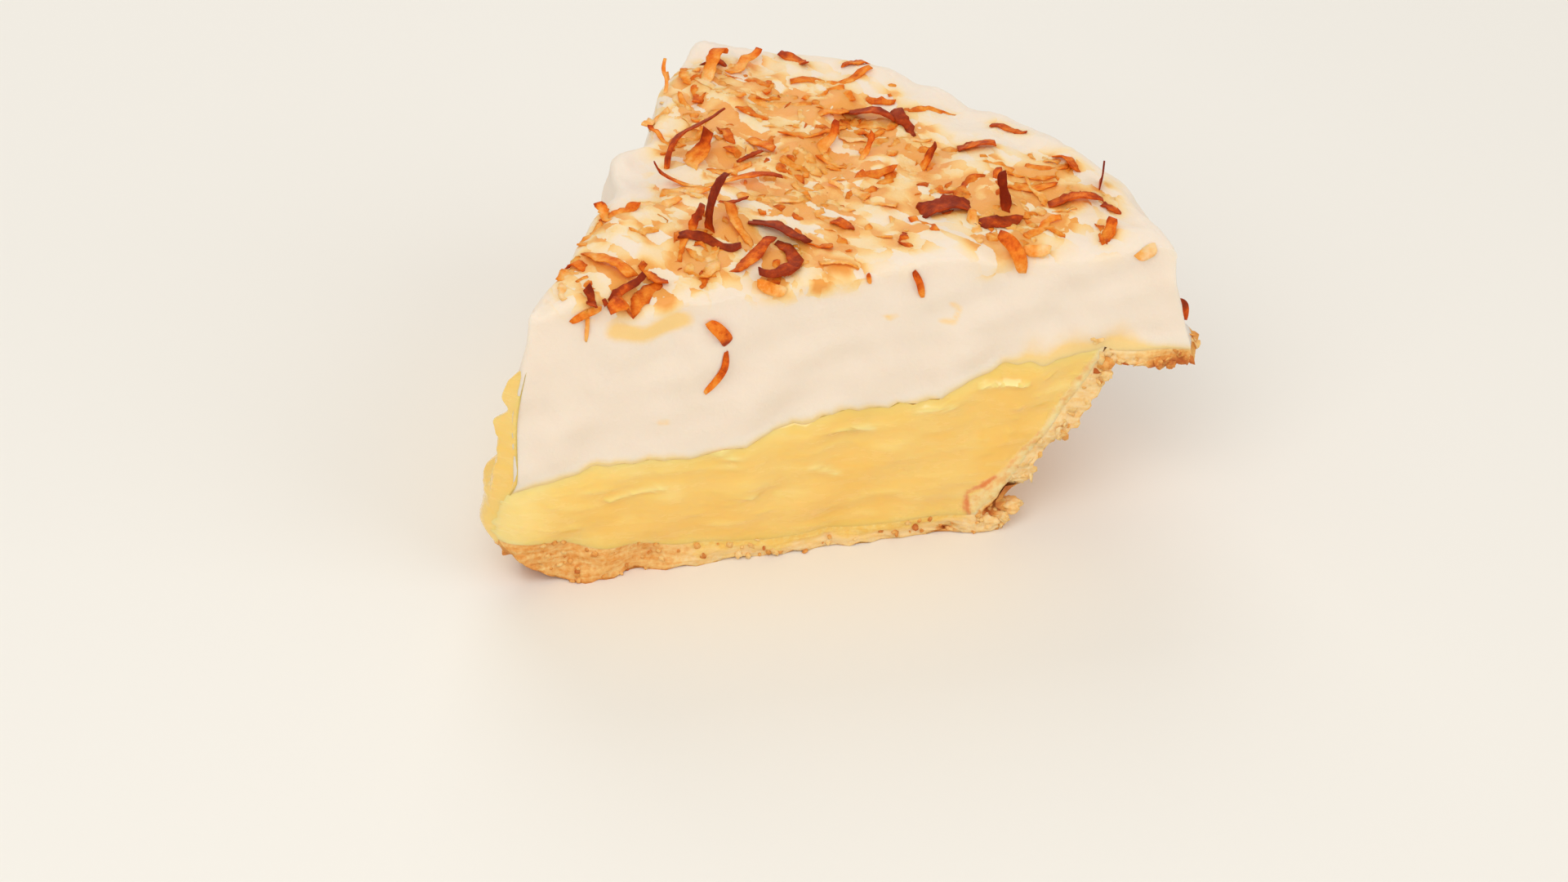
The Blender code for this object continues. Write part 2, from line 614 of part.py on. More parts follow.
def add_coconut(meringue):
    """Fuses every shred to the meringue."""
    tree = surface_tree(meringue)

    def make_shreds(collection):
        for number, shred in enumerate(STANDING_SHREDS + scattered_shreds()):
            coconut_shred(f"shred_{number:02d}", shred, tree, collection)

    fuse(meringue, make_shreds)


def add_lumps(crust):
    """Fuses the teeth and lumps to the crust."""
    tree = surface_tree(crust)

    def make_lumps(collection):
        for number, (middle, size, turn) in enumerate(zip(*crust_lumps(tree))):
            crust_lump(f"lump_{number:02d}", middle, size, turn, collection)

    fuse(crust, make_lumps)


clear_scene()
parts = bpy.data.collections.new("coconut_meringue_pie_slice")
bpy.context.scene.collection.children.link(parts)
crust_finish = food_material("baked_crust", CRUST_COLOUR, 0.75)
custard_finish = food_material("custard", CUSTARD_COLOUR, 0.35)
meringue_finish = food_material("meringue", MERINGUE_COLOUR, 0.6)

crust_block = layer("crust", RINGS, CRUST_LEVELS, crust_outside, crust_inside, crust_finish)
add_lumps(crust_block)
layer("custard", LIP_RING, CUSTARD_LEVELS, custard_underside, custard_top, custard_finish)
meringue_block = layer(
    "meringue", RINGS, MERINGUE_LEVELS, meringue_underside, meringue_outside, meringue_finish
)
add_coconut(meringue_block)
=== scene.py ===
# %% [markdown]
# A slice of coconut meringue pie, dressed for its picture. Three layers carry it: a baked crust, a set
# custard and a tall meringue. Toasted coconut lies on top. The solid slice is loaded first as a fixed
# frame, and every visible piece is then made in the same place, only finer.

# %% Load the solid slice
import math

import bmesh
import bpy
import numpy as np
from mathutils import Euler, Matrix, Vector
from mathutils.bvhtree import BVHTree


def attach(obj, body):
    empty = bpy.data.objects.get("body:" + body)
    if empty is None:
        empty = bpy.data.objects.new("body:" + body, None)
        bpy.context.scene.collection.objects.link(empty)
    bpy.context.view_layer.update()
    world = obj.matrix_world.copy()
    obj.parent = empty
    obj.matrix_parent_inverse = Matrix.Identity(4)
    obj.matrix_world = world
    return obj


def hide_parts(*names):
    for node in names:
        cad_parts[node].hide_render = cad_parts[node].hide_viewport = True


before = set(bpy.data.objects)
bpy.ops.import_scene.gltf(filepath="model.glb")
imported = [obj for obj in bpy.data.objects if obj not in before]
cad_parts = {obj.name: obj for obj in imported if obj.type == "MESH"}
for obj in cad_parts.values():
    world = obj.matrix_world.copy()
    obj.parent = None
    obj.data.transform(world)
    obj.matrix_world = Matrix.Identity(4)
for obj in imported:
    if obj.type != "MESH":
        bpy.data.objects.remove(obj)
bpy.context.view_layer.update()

# %% [markdown]
# The slice is easiest to describe from its own tip. So lengths here are millimetres, the origin is the
# crust's tip, and +X halves the angle between the two cuts. One function at the end of each shape moves
# the points to the frame, in metres. The knife didn't meet the middle of the pie, so the pie's centre,
# which the rim is round about, lies beside the tip. Radii count from that centre, and heights from the
# ground.

# %% Sizes of the slice
MM = 0.001
SLICE_ANGLE = math.radians(60)
PIE_CENTRE = np.array([12.7, -19.0])
FOOTPRINT_MIDDLE = np.array([63.42, -5.46])
BASE_RADIUS, INNER_BASE_RADIUS, CUSTARD_RADIUS, MERINGUE_RADIUS = 74.5, 69.0, 93.4, 102.4
RINGS, LIP_RING, BASE_RING = 20, 16, 8
TOP_HEIGHT = 61.0
TIP_BOW, TIP_BOW_LENGTH = 10.0, 15.0
CRUST_THICKNESS, TIP_CRUST_EXTRA, TIP_CRUST_REACH = 4.0, 6.8, 24.0

BASE_STEPS = [0.0, 0.05, 0.11, 0.20, 0.33, 0.49, 0.66, 0.83, 1.0]
TOP_STEPS = [0, 0.1, 0.235, 0.385, 0.535, 0.68, 0.82, 0.93, 1]
CRUST_OUTSIDE = [
    (79.3, 1.2), (80.6, 6.5), (80.3, 12.3), (83.8, 18.0), (88.3, 22.8), (91.5, 27.8),
    (93.9, 32.0), (95.8, 34.4), (98.6, 34.2), (103.0, 33.7), (108.0, 33.2), (112.0, 33.9),
]
CRUST_INSIDE = [
    (71.5, 4.9), (74.3, 7.4), (77.2, 11.4), (80.4, 16.6), (84.2, 22.0), (87.6, 27.4),
    (90.6, 32.5), (93.0, 36.9), (95.6, 37.3), (101.5, 37.4), (107.0, 36.8), (111.2, 36.3),
]
MERINGUE_WALL = [(104.6, 60.2), (106.0, 57.4), (107.0, 51.5), (108.2, 45.2), (110.6, 38.6)]
CUSTARD_SHARE = [0.0, 0.12, 0.25, 0.53, 0.67, 0.80, 1.0]
CUSTARD_HEIGHT = [20.5, 23.8, 25.3, 28.5, 31.2, 34.7, 38.5]
CRIMPS, CRIMP_HEIGHT, CRIMP_REACH = 46, 0.7, 1.1
CUSTARD_BASE_SHARE, CUSTARD_WALL_SHARE, CUSTARD_LENGTH = 0.785, 0.215, 112
EDGE_DROP, EDGE_DROP_REACH = 0.9, 2.4
TIP_SLUMP, TIP_SLUMP_REACH = 3.0, 9.0
TIP_BLUNT, TIP_BLUNTER_ABOVE = 1.6, [(0.035, 10, 50), (0.055, 22, 36)]
TIP_BULGE, TIP_BULGE_PLACE, TIP_BULGE_REACH = 3.2, 7.0, 10.0
TOE_NOTCH, TOE_NOTCH_FADE = 3.4, 4.0
NEAR_SAG, FAR_SAG, NEAR_FADE, FAR_FADE = 0.8, 1.9, 9.0, 16.0
FAR_LEAN, LEAN_FROM_HEIGHT = 5.2, 12
FAR_ALONG = [0, 12, 24, 33, 41, 48, 54, 59, 62, 65, 72, 80, 88, 95, 104, 115]
FAR_INSET = [5.2, 5.4, 5.4, 6.2, 7.4, 6.0, 3.8, 2.0, 2.6, 6.0, 5.4, 4.6, 3.6, 5.4, 5.6, 5.2]
NEAR_OUT = np.array([-math.sin(SLICE_ANGLE / 2), -math.cos(SLICE_ANGLE / 2)])
FAR_OUT = np.array([-math.sin(SLICE_ANGLE / 2), math.cos(SLICE_ANGLE / 2)])
NEAR_HEADING = np.array([math.cos(SLICE_ANGLE / 2), -math.sin(SLICE_ANGLE / 2)])
FAR_HEADING = np.array([math.cos(SLICE_ANGLE / 2), math.sin(SLICE_ANGLE / 2)])


def to_frame(points):
    """Millimetres of the slice to metres of the frame: the middle of the footprint becomes the origin."""
    return (points - np.append(FOOTPRINT_MIDDLE, 0)) * MM


print("slice of a pie that is", 2 * CRUST_OUTSIDE[-1][0], "mm across")

# %% [markdown]
# Food is never straight. Two kinds of unevenness are used. Waves are long and soft: a sum of a few sine
# waves in random directions, as in the solid slice, so that both have the same bulges. Grain is a fine
# gradient noise: each corner of a grid of cells gets a random slope, and a point blends its eight corners.
# Each call gives a seed, so that no two are alike.

# %% Unevenness
WAVE_COUNT = 7


def unit(vectors):
    """The vectors at length 1."""
    return vectors / np.linalg.norm(vectors, axis=-1, keepdims=True)


def waves(points, wavelength, seed):
    """Sum of plane waves: each is the sine of a phase plus the point's distance along a random direction."""
    draw = np.random.default_rng(seed)
    direction = unit(draw.normal(size=(WAVE_COUNT, 3)))
    pitch = 2 * math.pi / (wavelength * draw.uniform(0.75, 1.35, WAVE_COUNT))
    phase = draw.uniform(0, 2 * math.pi, WAVE_COUNT)
    angle = points @ (direction * pitch[:, None]).T + phase
    return np.sin(angle).sum(axis=1) / math.sqrt(WAVE_COUNT / 2)


def grain(points, size, seed):
    """Gradient noise from about -1 to 1, in cells of the given size: one number, or one for each axis."""
    places = points / np.asarray(size, float)
    cell = np.floor(places).astype(np.int64)
    inside = places - cell
    blend = inside * inside * inside * (inside * (inside * 6 - 15) + 10)
    total = np.zeros(len(points))
    for corner in np.ndindex(2, 2, 2):
        at = cell + corner
        mixed = (at[:, 0] * 73856093) ^ (at[:, 1] * 19349663) ^ (at[:, 2] * 83492791) ^ (seed * 2654435761)
        slopes = []
        for _ in range(3):
            mixed = (mixed * 1103515245 + 12345) & 0x7FFFFFFF
            slopes.append((mixed >> 8) / 0x3FFFFF - 1)
        reach_there = ((inside - corner) * np.stack(slopes, axis=1)).sum(axis=1)
        weight = np.where(np.array(corner) == 1, blend, 1 - blend).prod(axis=1)
        total += weight * reach_there
    return total * 1.3


def fine_grain(points, size, seed, octaves=3):
    """Grain on grain: each octave has half the size and half the height of the one before."""
    size = np.asarray(size, float)
    return sum(grain(points, size / 2**k, seed + k) / 2**k for k in range(octaves))


def step(value, low, high):
    """Rises smoothly from 0 at low to 1 at high: 3t^2 - 2t^3 of the share of the way t."""
    share = np.clip((value - low) / (high - low), 0, 1)
    return share * share * (3 - 2 * share)


def through(knots, values, at):
    """A smooth curve through points: cubics that meet with the slope of each knot's two neighbours."""
    knots, values = np.asarray(knots, float), np.asarray(values, float)
    slopes = np.gradient(values, knots)
    k = np.clip(np.searchsorted(knots, at, side="right") - 1, 0, len(knots) - 2)
    width = knots[k + 1] - knots[k]
    t = (at - knots[k]) / width
    start = (1 + 2 * t) * (1 - t) ** 2 * values[k] + t * (1 - t) ** 2 * width * slopes[k]
    return start + t * t * (3 - 2 * t) * values[k + 1] + t * t * (t - 1) * width * slopes[k + 1]


sample = np.random.default_rng(0).uniform(0, 100, (1000, 3))
uneven = grain(sample, 5, 1), waves(sample, 9, 1)
print("grain and waves spread by", *(round(values.std(), 2) for values in uneven))

# %% [markdown]
# A layer of the pie lies between a lower and an upper surface. Each surface is a function of two numbers:
# the ring, which counts from 0 at the tip to 20 at the rim, and the angle across the slice. Tables give
# radius and height for each whole ring, and a smooth curve through them fills in between.

# %% Surfaces of the layers
def reach(angle, radius):
    """How far it is from the tip along an angle to a circle: the root t of |t d - centre| = radius."""
    along = PIE_CENTRE[0] * np.cos(angle) + PIE_CENTRE[1] * np.sin(angle)
    return along + np.sqrt(along**2 - PIE_CENTRE @ PIE_CENTRE + radius**2)


def place(angle, share, radius, height):
    """The point at a share of the way from the tip to the circle, at a height."""
    distance = share * reach(angle, radius)
    return np.column_stack([distance * np.cos(angle), distance * np.sin(angle), height])


def profile(ring, inner_radius, steps, wall, level=0.0):
    """Share, radius and height at any ring: level along the steps, then on the curve through the wall."""
    rings, flat = np.arange(len(steps) + len(wall)), len(steps)
    share = np.clip(through(rings, list(steps) + [1.0] * len(wall), ring), 0, 1)
    radius = through(rings, [inner_radius] * flat + [r for r, _ in wall], ring)
    height = np.maximum(through(rings, [level] * flat + [z for _, z in wall], ring), 0)
    return share, radius, height


def outward(points):
    """Unit vectors away from the pie's centre, in plan."""
    return unit(points[:, :2] - PIE_CENTRE)


def crimped(points):
    """Raises and lets out the rim by an uneven sine of the turn round the pie's centre."""
    offset = points[:, :2] - PIE_CENTRE
    radius, turn = np.hypot(offset[:, 0], offset[:, 1]), np.arctan2(offset[:, 1], offset[:, 0])
    uneven = 0.35 * np.sin(turn * 17 + 0.6) + 0.25 * np.sin(turn * 31 + 2.0)
    wave = np.sin(turn * CRIMPS + 1.6 * uneven) * step(radius, 98.0, 110.0)
    points = points.copy()
    points[:, 2] += CRIMP_HEIGHT * wave
    points[:, :2] += outward(points) * (CRIMP_REACH * wave)[:, None]
    return points


def tip_distance(points):
    """How far each point is from the tip, in plan."""
    return np.hypot(points[:, 0], points[:, 1])


def tip_bow(points):
    """Height of the crust's underside by the tip: the square of the share that is left to the bow's end."""
    return TIP_BOW * np.clip(1 - tip_distance(points) / TIP_BOW_LENGTH, 0, 1) ** 2


def crust_outside(ring, angle):
    """Flat base, bow at the tip, craggy wall and the flange's underside."""
    points = place(angle, *profile(ring, BASE_RADIUS, BASE_STEPS, CRUST_OUTSIDE))
    points[:, 2] += np.where(ring <= BASE_RING, tip_bow(points), 0)
    points = crimped(points)
    crags = 0.75 * waves(points, 7.0, 11) + 0.45 * waves(points, 3.6, 12)
    on_wall = step(ring, BASE_RING, BASE_RING + 1.5) * (1 - 0.6 * step(points[:, 2], 31.0, 34.0))
    points[:, :2] += outward(points) * (crags * on_wall)[:, None]
    points[:, 2] += 0.4 * waves(points, 6.0, 13) * step(points[:, 2], 5.0, 30.0)
    near, _ = cut_distances(points)
    on_foot = step(ring, BASE_RING, BASE_RING + 1.5) * (1 - step(points[:, 2], 6.0, 12.0))
    points[:, :2] -= outward(points) * (TOE_NOTCH * on_foot * np.exp(-near / TOE_NOTCH_FADE))[:, None]
    return points


def crust_inside(ring, angle):
    """Floor that is thicker under the tip, then the wall and the flange's top."""
    points = place(angle, *profile(ring, INNER_BASE_RADIUS, BASE_STEPS, CRUST_INSIDE))
    floor = CRUST_THICKNESS + TIP_CRUST_EXTRA * np.exp(-((tip_distance(points) / TIP_CRUST_REACH) ** 2))
    floor = np.maximum(floor, tip_bow(points) + 1.0)
    points[:, 2] = np.where(ring <= BASE_RING, floor, np.maximum(points[:, 2], CRUST_THICKNESS))
    points[:, 2] += 0.35 * waves(points, 14.0, 21)
    return crimped(points)


def custard_top(ring, angle):
    """The wavy line between custard and meringue, from the tip up to the crust's lip."""
    steps = [share * CUSTARD_BASE_SHARE for share in BASE_STEPS]
    steps += [CUSTARD_BASE_SHARE + CUSTARD_WALL_SHARE * k / 8 for k in range(1, 9)]
    share = np.clip(through(np.arange(len(steps)), steps, ring), 0, 1)
    points = place(angle, share, CUSTARD_RADIUS, through(CUSTARD_SHARE, CUSTARD_HEIGHT, share))
    settle = step(share, 0.02, 0.2) * (1 - step(share, 0.88, 1.0))
    points[:, 2] += settle * (0.8 * waves(points, 32.0, 31) + 0.35 * waves(points, 13.0, 32))
    points[:, 2] += settle * 0.22 * waves(points, 4.5, 33)
    return points


def meringue_underside(ring, angle):
    """The custard's top, blended over one ring past the lip into the flange's top."""
    past = np.clip(ring - LIP_RING, 0, 1)[:, None]
    inner = custard_top(np.minimum(ring, LIP_RING), angle)
    return inner * (1 - past) + crust_inside(np.maximum(ring, LIP_RING + 1), angle) * past


def meringue_outside(ring, angle):
    """Level top, soft shoulder and the lumpy side down to the rim."""
    top_rings = RINGS - len(MERINGUE_WALL)
    steps = np.interp(np.arange(top_rings + 1), np.linspace(0, top_rings, len(TOP_STEPS)), TOP_STEPS)
    points = place(angle, *profile(ring, MERINGUE_RADIUS, steps, MERINGUE_WALL, TOP_HEIGHT))
    on_top = step(points[:, 2], 50.0, 59.0)
    points[:, 2] += on_top * (0.75 * waves(points, 34.0, 41) + 0.35 * waves(points, 12.0, 42))
    from_cut = np.minimum(*cut_distances(points))
    points[:, 2] -= on_top * EDGE_DROP * np.exp(-((from_cut / EDGE_DROP_REACH) ** 2))
    points[:, 2] -= on_top * TIP_SLUMP * np.exp(-((tip_distance(points) / TIP_SLUMP_REACH) ** 2))
    side = step(ring, top_rings, top_rings + 2)
    points[:, :2] += outward(points) * (0.8 * waves(points, 16.0, 43) * side)[:, None]
    return points


def cut_distances(points):
    """How far each point is inside the near cut and inside the far cut."""
    return -points[:, :2] @ NEAR_OUT, -points[:, :2] @ FAR_OUT


STROKE_DEPTH = 2.5


def near_stroke(points, line, width):
    """From 0 to 1, how close each point is to a line of (distance along the near cut, height) corners.

    The distance to a part of the line is taken to its nearest point: the start plus the share t of the part,
    where t is the projection on it, kept from 0 to 1. The closeness is exp(-(distance / width)^2).
    """
    spots = np.column_stack([points[:, :2] @ NEAR_HEADING, points[:, 2]])
    line = np.array(line, float)
    nearest = np.full(len(points), 1e9)
    for start, end in zip(line[:-1], line[1:]):
        part = end - start
        t = np.clip((spots - start) @ part / (part @ part), 0, 1)
        nearest = np.minimum(nearest, np.linalg.norm(spots - start - t[:, None] * part, axis=1))
    return np.exp(-((nearest / width) ** 2)) * (cut_distances(points)[0] < STROKE_DEPTH)


print("rim at", reach(0.0, CRUST_OUTSIDE[-1][0]).round(1), "mm from the tip")

# %% [markdown]
# The knife dragged, the custard sagged and the far cut leans in a little under the tall meringue. This
# moves whole regions, so it is one function of the point that every layer goes through. Cut edges are
# also never quite sharp: near an edge, the surface is laid round a quarter circle.

# %% What the knife and gravity did
def cut_relief(points):
    """Blunts the tip, since sqrt(x^2 + b^2) never falls under b, and moves each cut by a fading amount.

    The tip's table says by what slope b grows, from which height and for how many millimetres. What a cut
    is moved by fades with the distance from it, and to nothing at the other cut. The far cut's top edge
    follows the table of how far it leans in at each distance along the cut.
    """
    x, y, z = points.T
    blunt = sum((slope * np.clip(z - low, 0, rise) for slope, low, rise in TIP_BLUNTER_ABOVE), TIP_BLUNT)
    x = np.hypot(x, blunt)
    near, far = cut_distances(np.column_stack([x, y]))
    share = np.clip(np.hypot(x, y) / CUSTARD_LENGTH, 0, 1)
    line = np.interp(share, CUSTARD_SHARE, CUSTARD_HEIGHT)
    sag = step(z, 6.0, 13.0) * (1 - step(z, line - 2.5, line + 2.5))
    along = x * FAR_HEADING[0] + y * FAR_HEADING[1]
    rise = np.clip((z - LEAN_FROM_HEIGHT) / (TOP_HEIGHT - LEAN_FROM_HEIGHT), 0, 1.2)
    lean = FAR_LEAN * rise * step(x, 0.0, 14.0)
    edge = (through(FAR_ALONG, FAR_INSET, np.clip(along, 0, 114)) - FAR_LEAN) * step(z, 34.0, 52.0)
    near_move = NEAR_SAG * sag + 0.45 * waves(points, 15.0, 51) + 0.10 * waves(points, 7.0, 52)
    bulge = TIP_BULGE * np.exp(-(((along - TIP_BULGE_PLACE) / TIP_BULGE_REACH) ** 2))
    far_move = (FAR_SAG + bulge) * sag - lean - edge * step(x, 0.0, 14.0) + 0.6 * waves(points, 17.0, 53)
    near_move *= np.exp(-near / NEAR_FADE) * far / (near + far)
    far_move *= np.exp(-far / FAR_FADE) * near / (near + far)
    plan = np.column_stack([x, y]) + near_move[:, None] * NEAR_OUT + far_move[:, None] * FAR_OUT
    return np.column_stack([plan, z])


def rounded(points, below, down, radius):
    """Lays the surface round a quarter circle where a layer's face meets a cut.

    A point has a path length s from the edge: how far it is below the face, or minus how far it is inside
    the cut. From -radius to radius, s turns into an angle, and the point goes to that angle on the circle.
    """
    moved = points.copy()
    for out, inside in zip((NEAR_OUT, FAR_OUT), cut_distances(points)):
        path = below - inside
        on_arc = (np.abs(path) < radius) & ((below < 1e-6) | (inside < 1e-6))
        turn = (path + radius) / (2 * radius) * math.pi / 2
        inwards = np.where(on_arc, radius * (1 - np.sin(turn)) - inside, 0)
        downwards = np.where(on_arc, radius * (1 - np.cos(turn)) - below, 0)
        moved[:, :2] -= inwards[:, None] * out
        moved += downwards[:, None] * down
    return moved


# %% [markdown]
# One lattice makes every layer. Picture a cube of cells: its corner at the origin is the tip of the
# slice, the larger of the first two coordinates is the ring, and their ratio is the angle. Only the six
# outer faces are kept, their shared edges are merged, and the result is a closed skin.

# %% The lattice behind each layer
def cube_skin(across, along, up):
    """Corners, as whole numbers, and outward quads of a cube's six gridded faces, merged at their edges."""
    sizes = (across, along, up)
    corners, quads, count = [], [], 0
    for axis in range(3):
        first, second = (axis + 1) % 3, (axis + 2) % 3
        for side in (0, 1):
            a, b = np.meshgrid(np.arange(sizes[first] + 1), np.arange(sizes[second] + 1), indexing="ij")
            face = np.zeros(a.shape + (3,), int)
            face[..., first], face[..., second], face[..., axis] = a, b, side * sizes[axis]
            index = count + np.arange(a.size).reshape(a.shape)
            quad = [index[:-1, :-1], index[1:, :-1], index[1:, 1:], index[:-1, 1:]]
            quads.append(np.stack(quad if side else quad[::-1], axis=-1).reshape(-1, 4))
            corners.append(face.reshape(-1, 3))
            count += a.size
    corners, merged = np.unique(np.concatenate(corners), axis=0, return_inverse=True)
    return corners, merged.reshape(-1)[np.concatenate(quads)]


def normals_of(points, quads):
    """Unit normals at the points: the sum of the cross products of the diagonals of the quads round each."""
    cross = np.cross(points[quads[:, 2]] - points[quads[:, 0]], points[quads[:, 3]] - points[quads[:, 1]])
    total = np.zeros_like(points)
    for k in range(4):
        for axis in range(3):
            total[:, axis] += np.bincount(quads[:, k], cross[:, axis], len(points))
    return total / np.maximum(np.linalg.norm(total, axis=1)[:, None], 1e-12)


def tree_of(piece):
    """A search tree of a piece's faces, in metres."""
    polygons = [polygon.vertices for polygon in piece.data.polygons]
    return BVHTree.FromPolygons([vertex.co for vertex in piece.data.vertices], polygons)


def add_object(name, data):
    """A new object with this data, linked to the scene."""
    thing = bpy.data.objects.new(name, data)
    bpy.context.scene.collection.objects.link(thing)
    return thing


def new_piece(name, points, faces, finish, slot, crease=180, **measures):
    """A mesh object at the origin, with one number at each point for every named measure.

    It is shaded smooth, apart from edges where its faces meet at more degrees than the crease.
    """
    mesh = bpy.data.meshes.new(name)
    mesh.from_pydata(to_frame(points).tolist(), [], faces if isinstance(faces, list) else faces.tolist())
    mesh.shade_smooth()
    mesh.set_sharp_from_angle(angle=math.radians(crease))
    for measure, values in measures.items():
        attribute = mesh.attributes.new(measure, "FLOAT", "POINT")
        attribute.data.foreach_set("value", np.asarray(values, np.float32))
    mesh.materials.append(finish)
    piece = add_object(name, mesh)
    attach(piece, "root")
    print(name, len(mesh.vertices), "points,", len(mesh.polygons), "faces")
    return piece


class Layer:
    """A layer's points, in the slice's millimetres, with what is known about each of them."""

    def __init__(self, rings, cells, levels, lower, upper, top_edge, foot_edge):
        """cells counts steps from tip to rim, levels steps in height, and the edges are rounding radii."""
        corners, self.quads = cube_skin(cells, cells, levels)
        i, j, k = corners.T
        ring = np.maximum(i, j)
        turn = np.where(i >= j, 0.5 * j / np.maximum(i, 1), 1 - 0.5 * i / np.maximum(j, 1))
        angle = (np.where(ring == 0, 0.5, turn) - 0.5) * SLICE_ANGLE
        self.ring = ring * rings / cells
        self.level = k / levels
        bottom, top = lower(self.ring, angle), upper(self.ring, angle)
        thickness = np.linalg.norm(top - bottom, axis=1)
        down = (bottom - top) / np.maximum(thickness, 1e-9)[:, None]
        points = bottom + (top - bottom) * self.level[:, None]
        self.inside = np.minimum(*cut_distances(points))
        self.from_top, self.from_foot = thickness * (1 - self.level), thickness * self.level
        points = rounded(points, self.from_top, down, top_edge)
        points = rounded(points, self.from_foot, -down, foot_edge)
        self.on_cut = ((i == 0) | (j == 0)).astype(float)
        self.points = cut_relief(points)

    def push(self, amount):
        """Moves every point along its normal."""
        self.points = self.points + normals_of(self.points, self.quads) * np.asarray(amount)[:, None]


corners, quads = cube_skin(2, 2, 1)
print("smallest lattice:", len(corners), "corners,", len(quads), "quads")

# %% [markdown]
# Finishes are built from shader nodes. Writing them as sums is easier to read than linking sockets one
# by one, so a Wire stands for a socket's value, and each plus, minus or times on it adds a Math node.
# Everything else comes from one method that takes the node's type, its settings and its inputs. Sizes in a
# finish are millimetres, and its colours are screen values from 0 to 255.

# %% A small language for finishes
BORDER_BEND = 2.5 * MM


class Wire:
    """The value of a socket, which can be used in sums."""

    def __init__(self, finish, socket):
        self.finish, self.socket = finish, socket

    def _sum(self, operation, first, second):
        return self.finish.node("ShaderNodeMath", {"operation": operation}, {0: first, 1: second})

    def __add__(self, other):
        return self._sum("ADD", self, other)

    def __sub__(self, other):
        return self._sum("SUBTRACT", self, other)

    def __rsub__(self, other):
        return self._sum("SUBTRACT", other, self)

    def __mul__(self, other):
        return self._sum("MULTIPLY", self, other)

    def between(self, low, high):
        """0 below low, 1 above high and smooth between them."""
        inputs = {"Value": self, "From Min": low, "From Max": high}
        return self.finish.node("ShaderNodeMapRange", {"interpolation_type": "SMOOTHSTEP"}, inputs)


class Finish:
    """A material whose Principled shader is set by values and fed by wires."""

    def __init__(self, name, **uniform):
        self.material = bpy.data.materials.new(name)
        self.material.use_nodes = True
        self.tree = self.material.node_tree
        self.shader = self.tree.nodes["Principled BSDF"]
        for socket, value in uniform.items():
            self.shader.inputs[socket.replace("_", " ")].default_value = value
        self.place = self.node("ShaderNodeTexCoord", {}, {}, "Object")

    def node(self, kind, settings, inputs, output=0):
        """Adds a node: settings first, a ramp's stops among them, then values or wires for its sockets."""
        node = self.tree.nodes.new(kind)
        for name, value in settings.items():
            if name == "stops":
                self.set_stops(node.color_ramp, value)
            else:
                setattr(node, name, value)
        for socket, value in inputs.items():
            self.connect(node.inputs[socket], value)
        return Wire(self, node.outputs[output])

    def connect(self, socket, value):
        """Links a wire to the socket, or sets the socket to a plain value."""
        if isinstance(value, Wire):
            self.tree.links.new(value.socket, socket)
        else:
            socket.default_value = value

    def feed(self, **wires):
        """Links wires to the Principled shader's sockets."""
        for name, wire in wires.items():
            self.connect(self.shader.inputs[name.replace("_", " ")], wire)

    def set_stops(self, ramp, stops):
        """Puts stops of (position, linear colour) on a ramp."""
        while len(ramp.elements) < len(stops):
            ramp.elements.new(0.5)
        for element, (position, shade) in zip(ramp.elements, stops):
            element.position, element.color = position, shade

    def measure(self, name):
        """A number that each point of the mesh carries."""
        return self.node("ShaderNodeAttribute", {"attribute_name": name}, {}, "Fac")

    def noise(self, millimetres, detail=3.0, stretch=(1, 1, 1)):
        """Noise from 0 to 1 whose lumps are about that size, longer along an axis by its stretch."""
        scale = [1 / (millimetres * MM * factor) for factor in stretch]
        spot = self.node("ShaderNodeMapping", {}, {"Vector": self.place, "Scale": scale})
        sizes = {"Vector": spot, "Scale": 1.0, "Detail": detail, "Roughness": 0.55}
        return self.node("ShaderNodeTexNoise", {}, sizes)

    def cells(self, millimetres, turn):
        """A random number for each of many cells of about that size, turned in plan, with bent borders."""
        bends = {"Vector": self.place, "Scale": 1 / BORDER_BEND, "Detail": 3.0}
        bend = self.node("ShaderNodeTexNoise", {}, bends, "Color")
        moves = {0: bend, 1: (BORDER_BEND,) * 3, 2: self.place}
        bent = self.node("ShaderNodeVectorMath", {"operation": "MULTIPLY_ADD"}, moves)
        scale = [1 / (size * MM) for size in millimetres]
        turned = {"Vector": bent, "Scale": scale, "Rotation": (0, 0, math.radians(turn))}
        spot = self.node("ShaderNodeMapping", {}, turned)
        return self.node("ShaderNodeTexVoronoi", {}, {"Vector": spot, "Scale": 1.0}, "Color")

    def mix(self, share, first, second):
        """A colour between two colours."""
        return self.node("ShaderNodeMix", {"data_type": "RGBA"}, {"Factor": share, 6: first, 7: second}, 2)

    def ramp(self, value, *stops):
        """The colour at a value along stops of (position, red, green, blue), in screen values."""
        stops = [(position, colour(*screen)) for position, *screen in stops]
        return self.node("ShaderNodeValToRGB", {"stops": stops}, {"Fac": value}, "Color")

    def bump(self, height, millimetres):
        """A normal tilted by a height from 0 to 1, where 1 stands that many millimetres proud."""
        sizes = {"Height": height, "Distance": millimetres * MM, "Strength": 1.0}
        return self.node("ShaderNodeBump", {}, sizes, "Normal")


def colour(red, green, blue):
    """A colour from screen values of 0 to 255, as the linear light that shaders use."""
    shares = np.array([red, green, blue]) / 255
    linear = np.where(shares > 0.04045, ((shares + 0.055) / 1.055) ** 2.4, shares / 12.92)
    return (*linear.tolist(), 1.0)


print("cream in linear light:", [round(c, 3) for c in colour(240, 223, 202)])
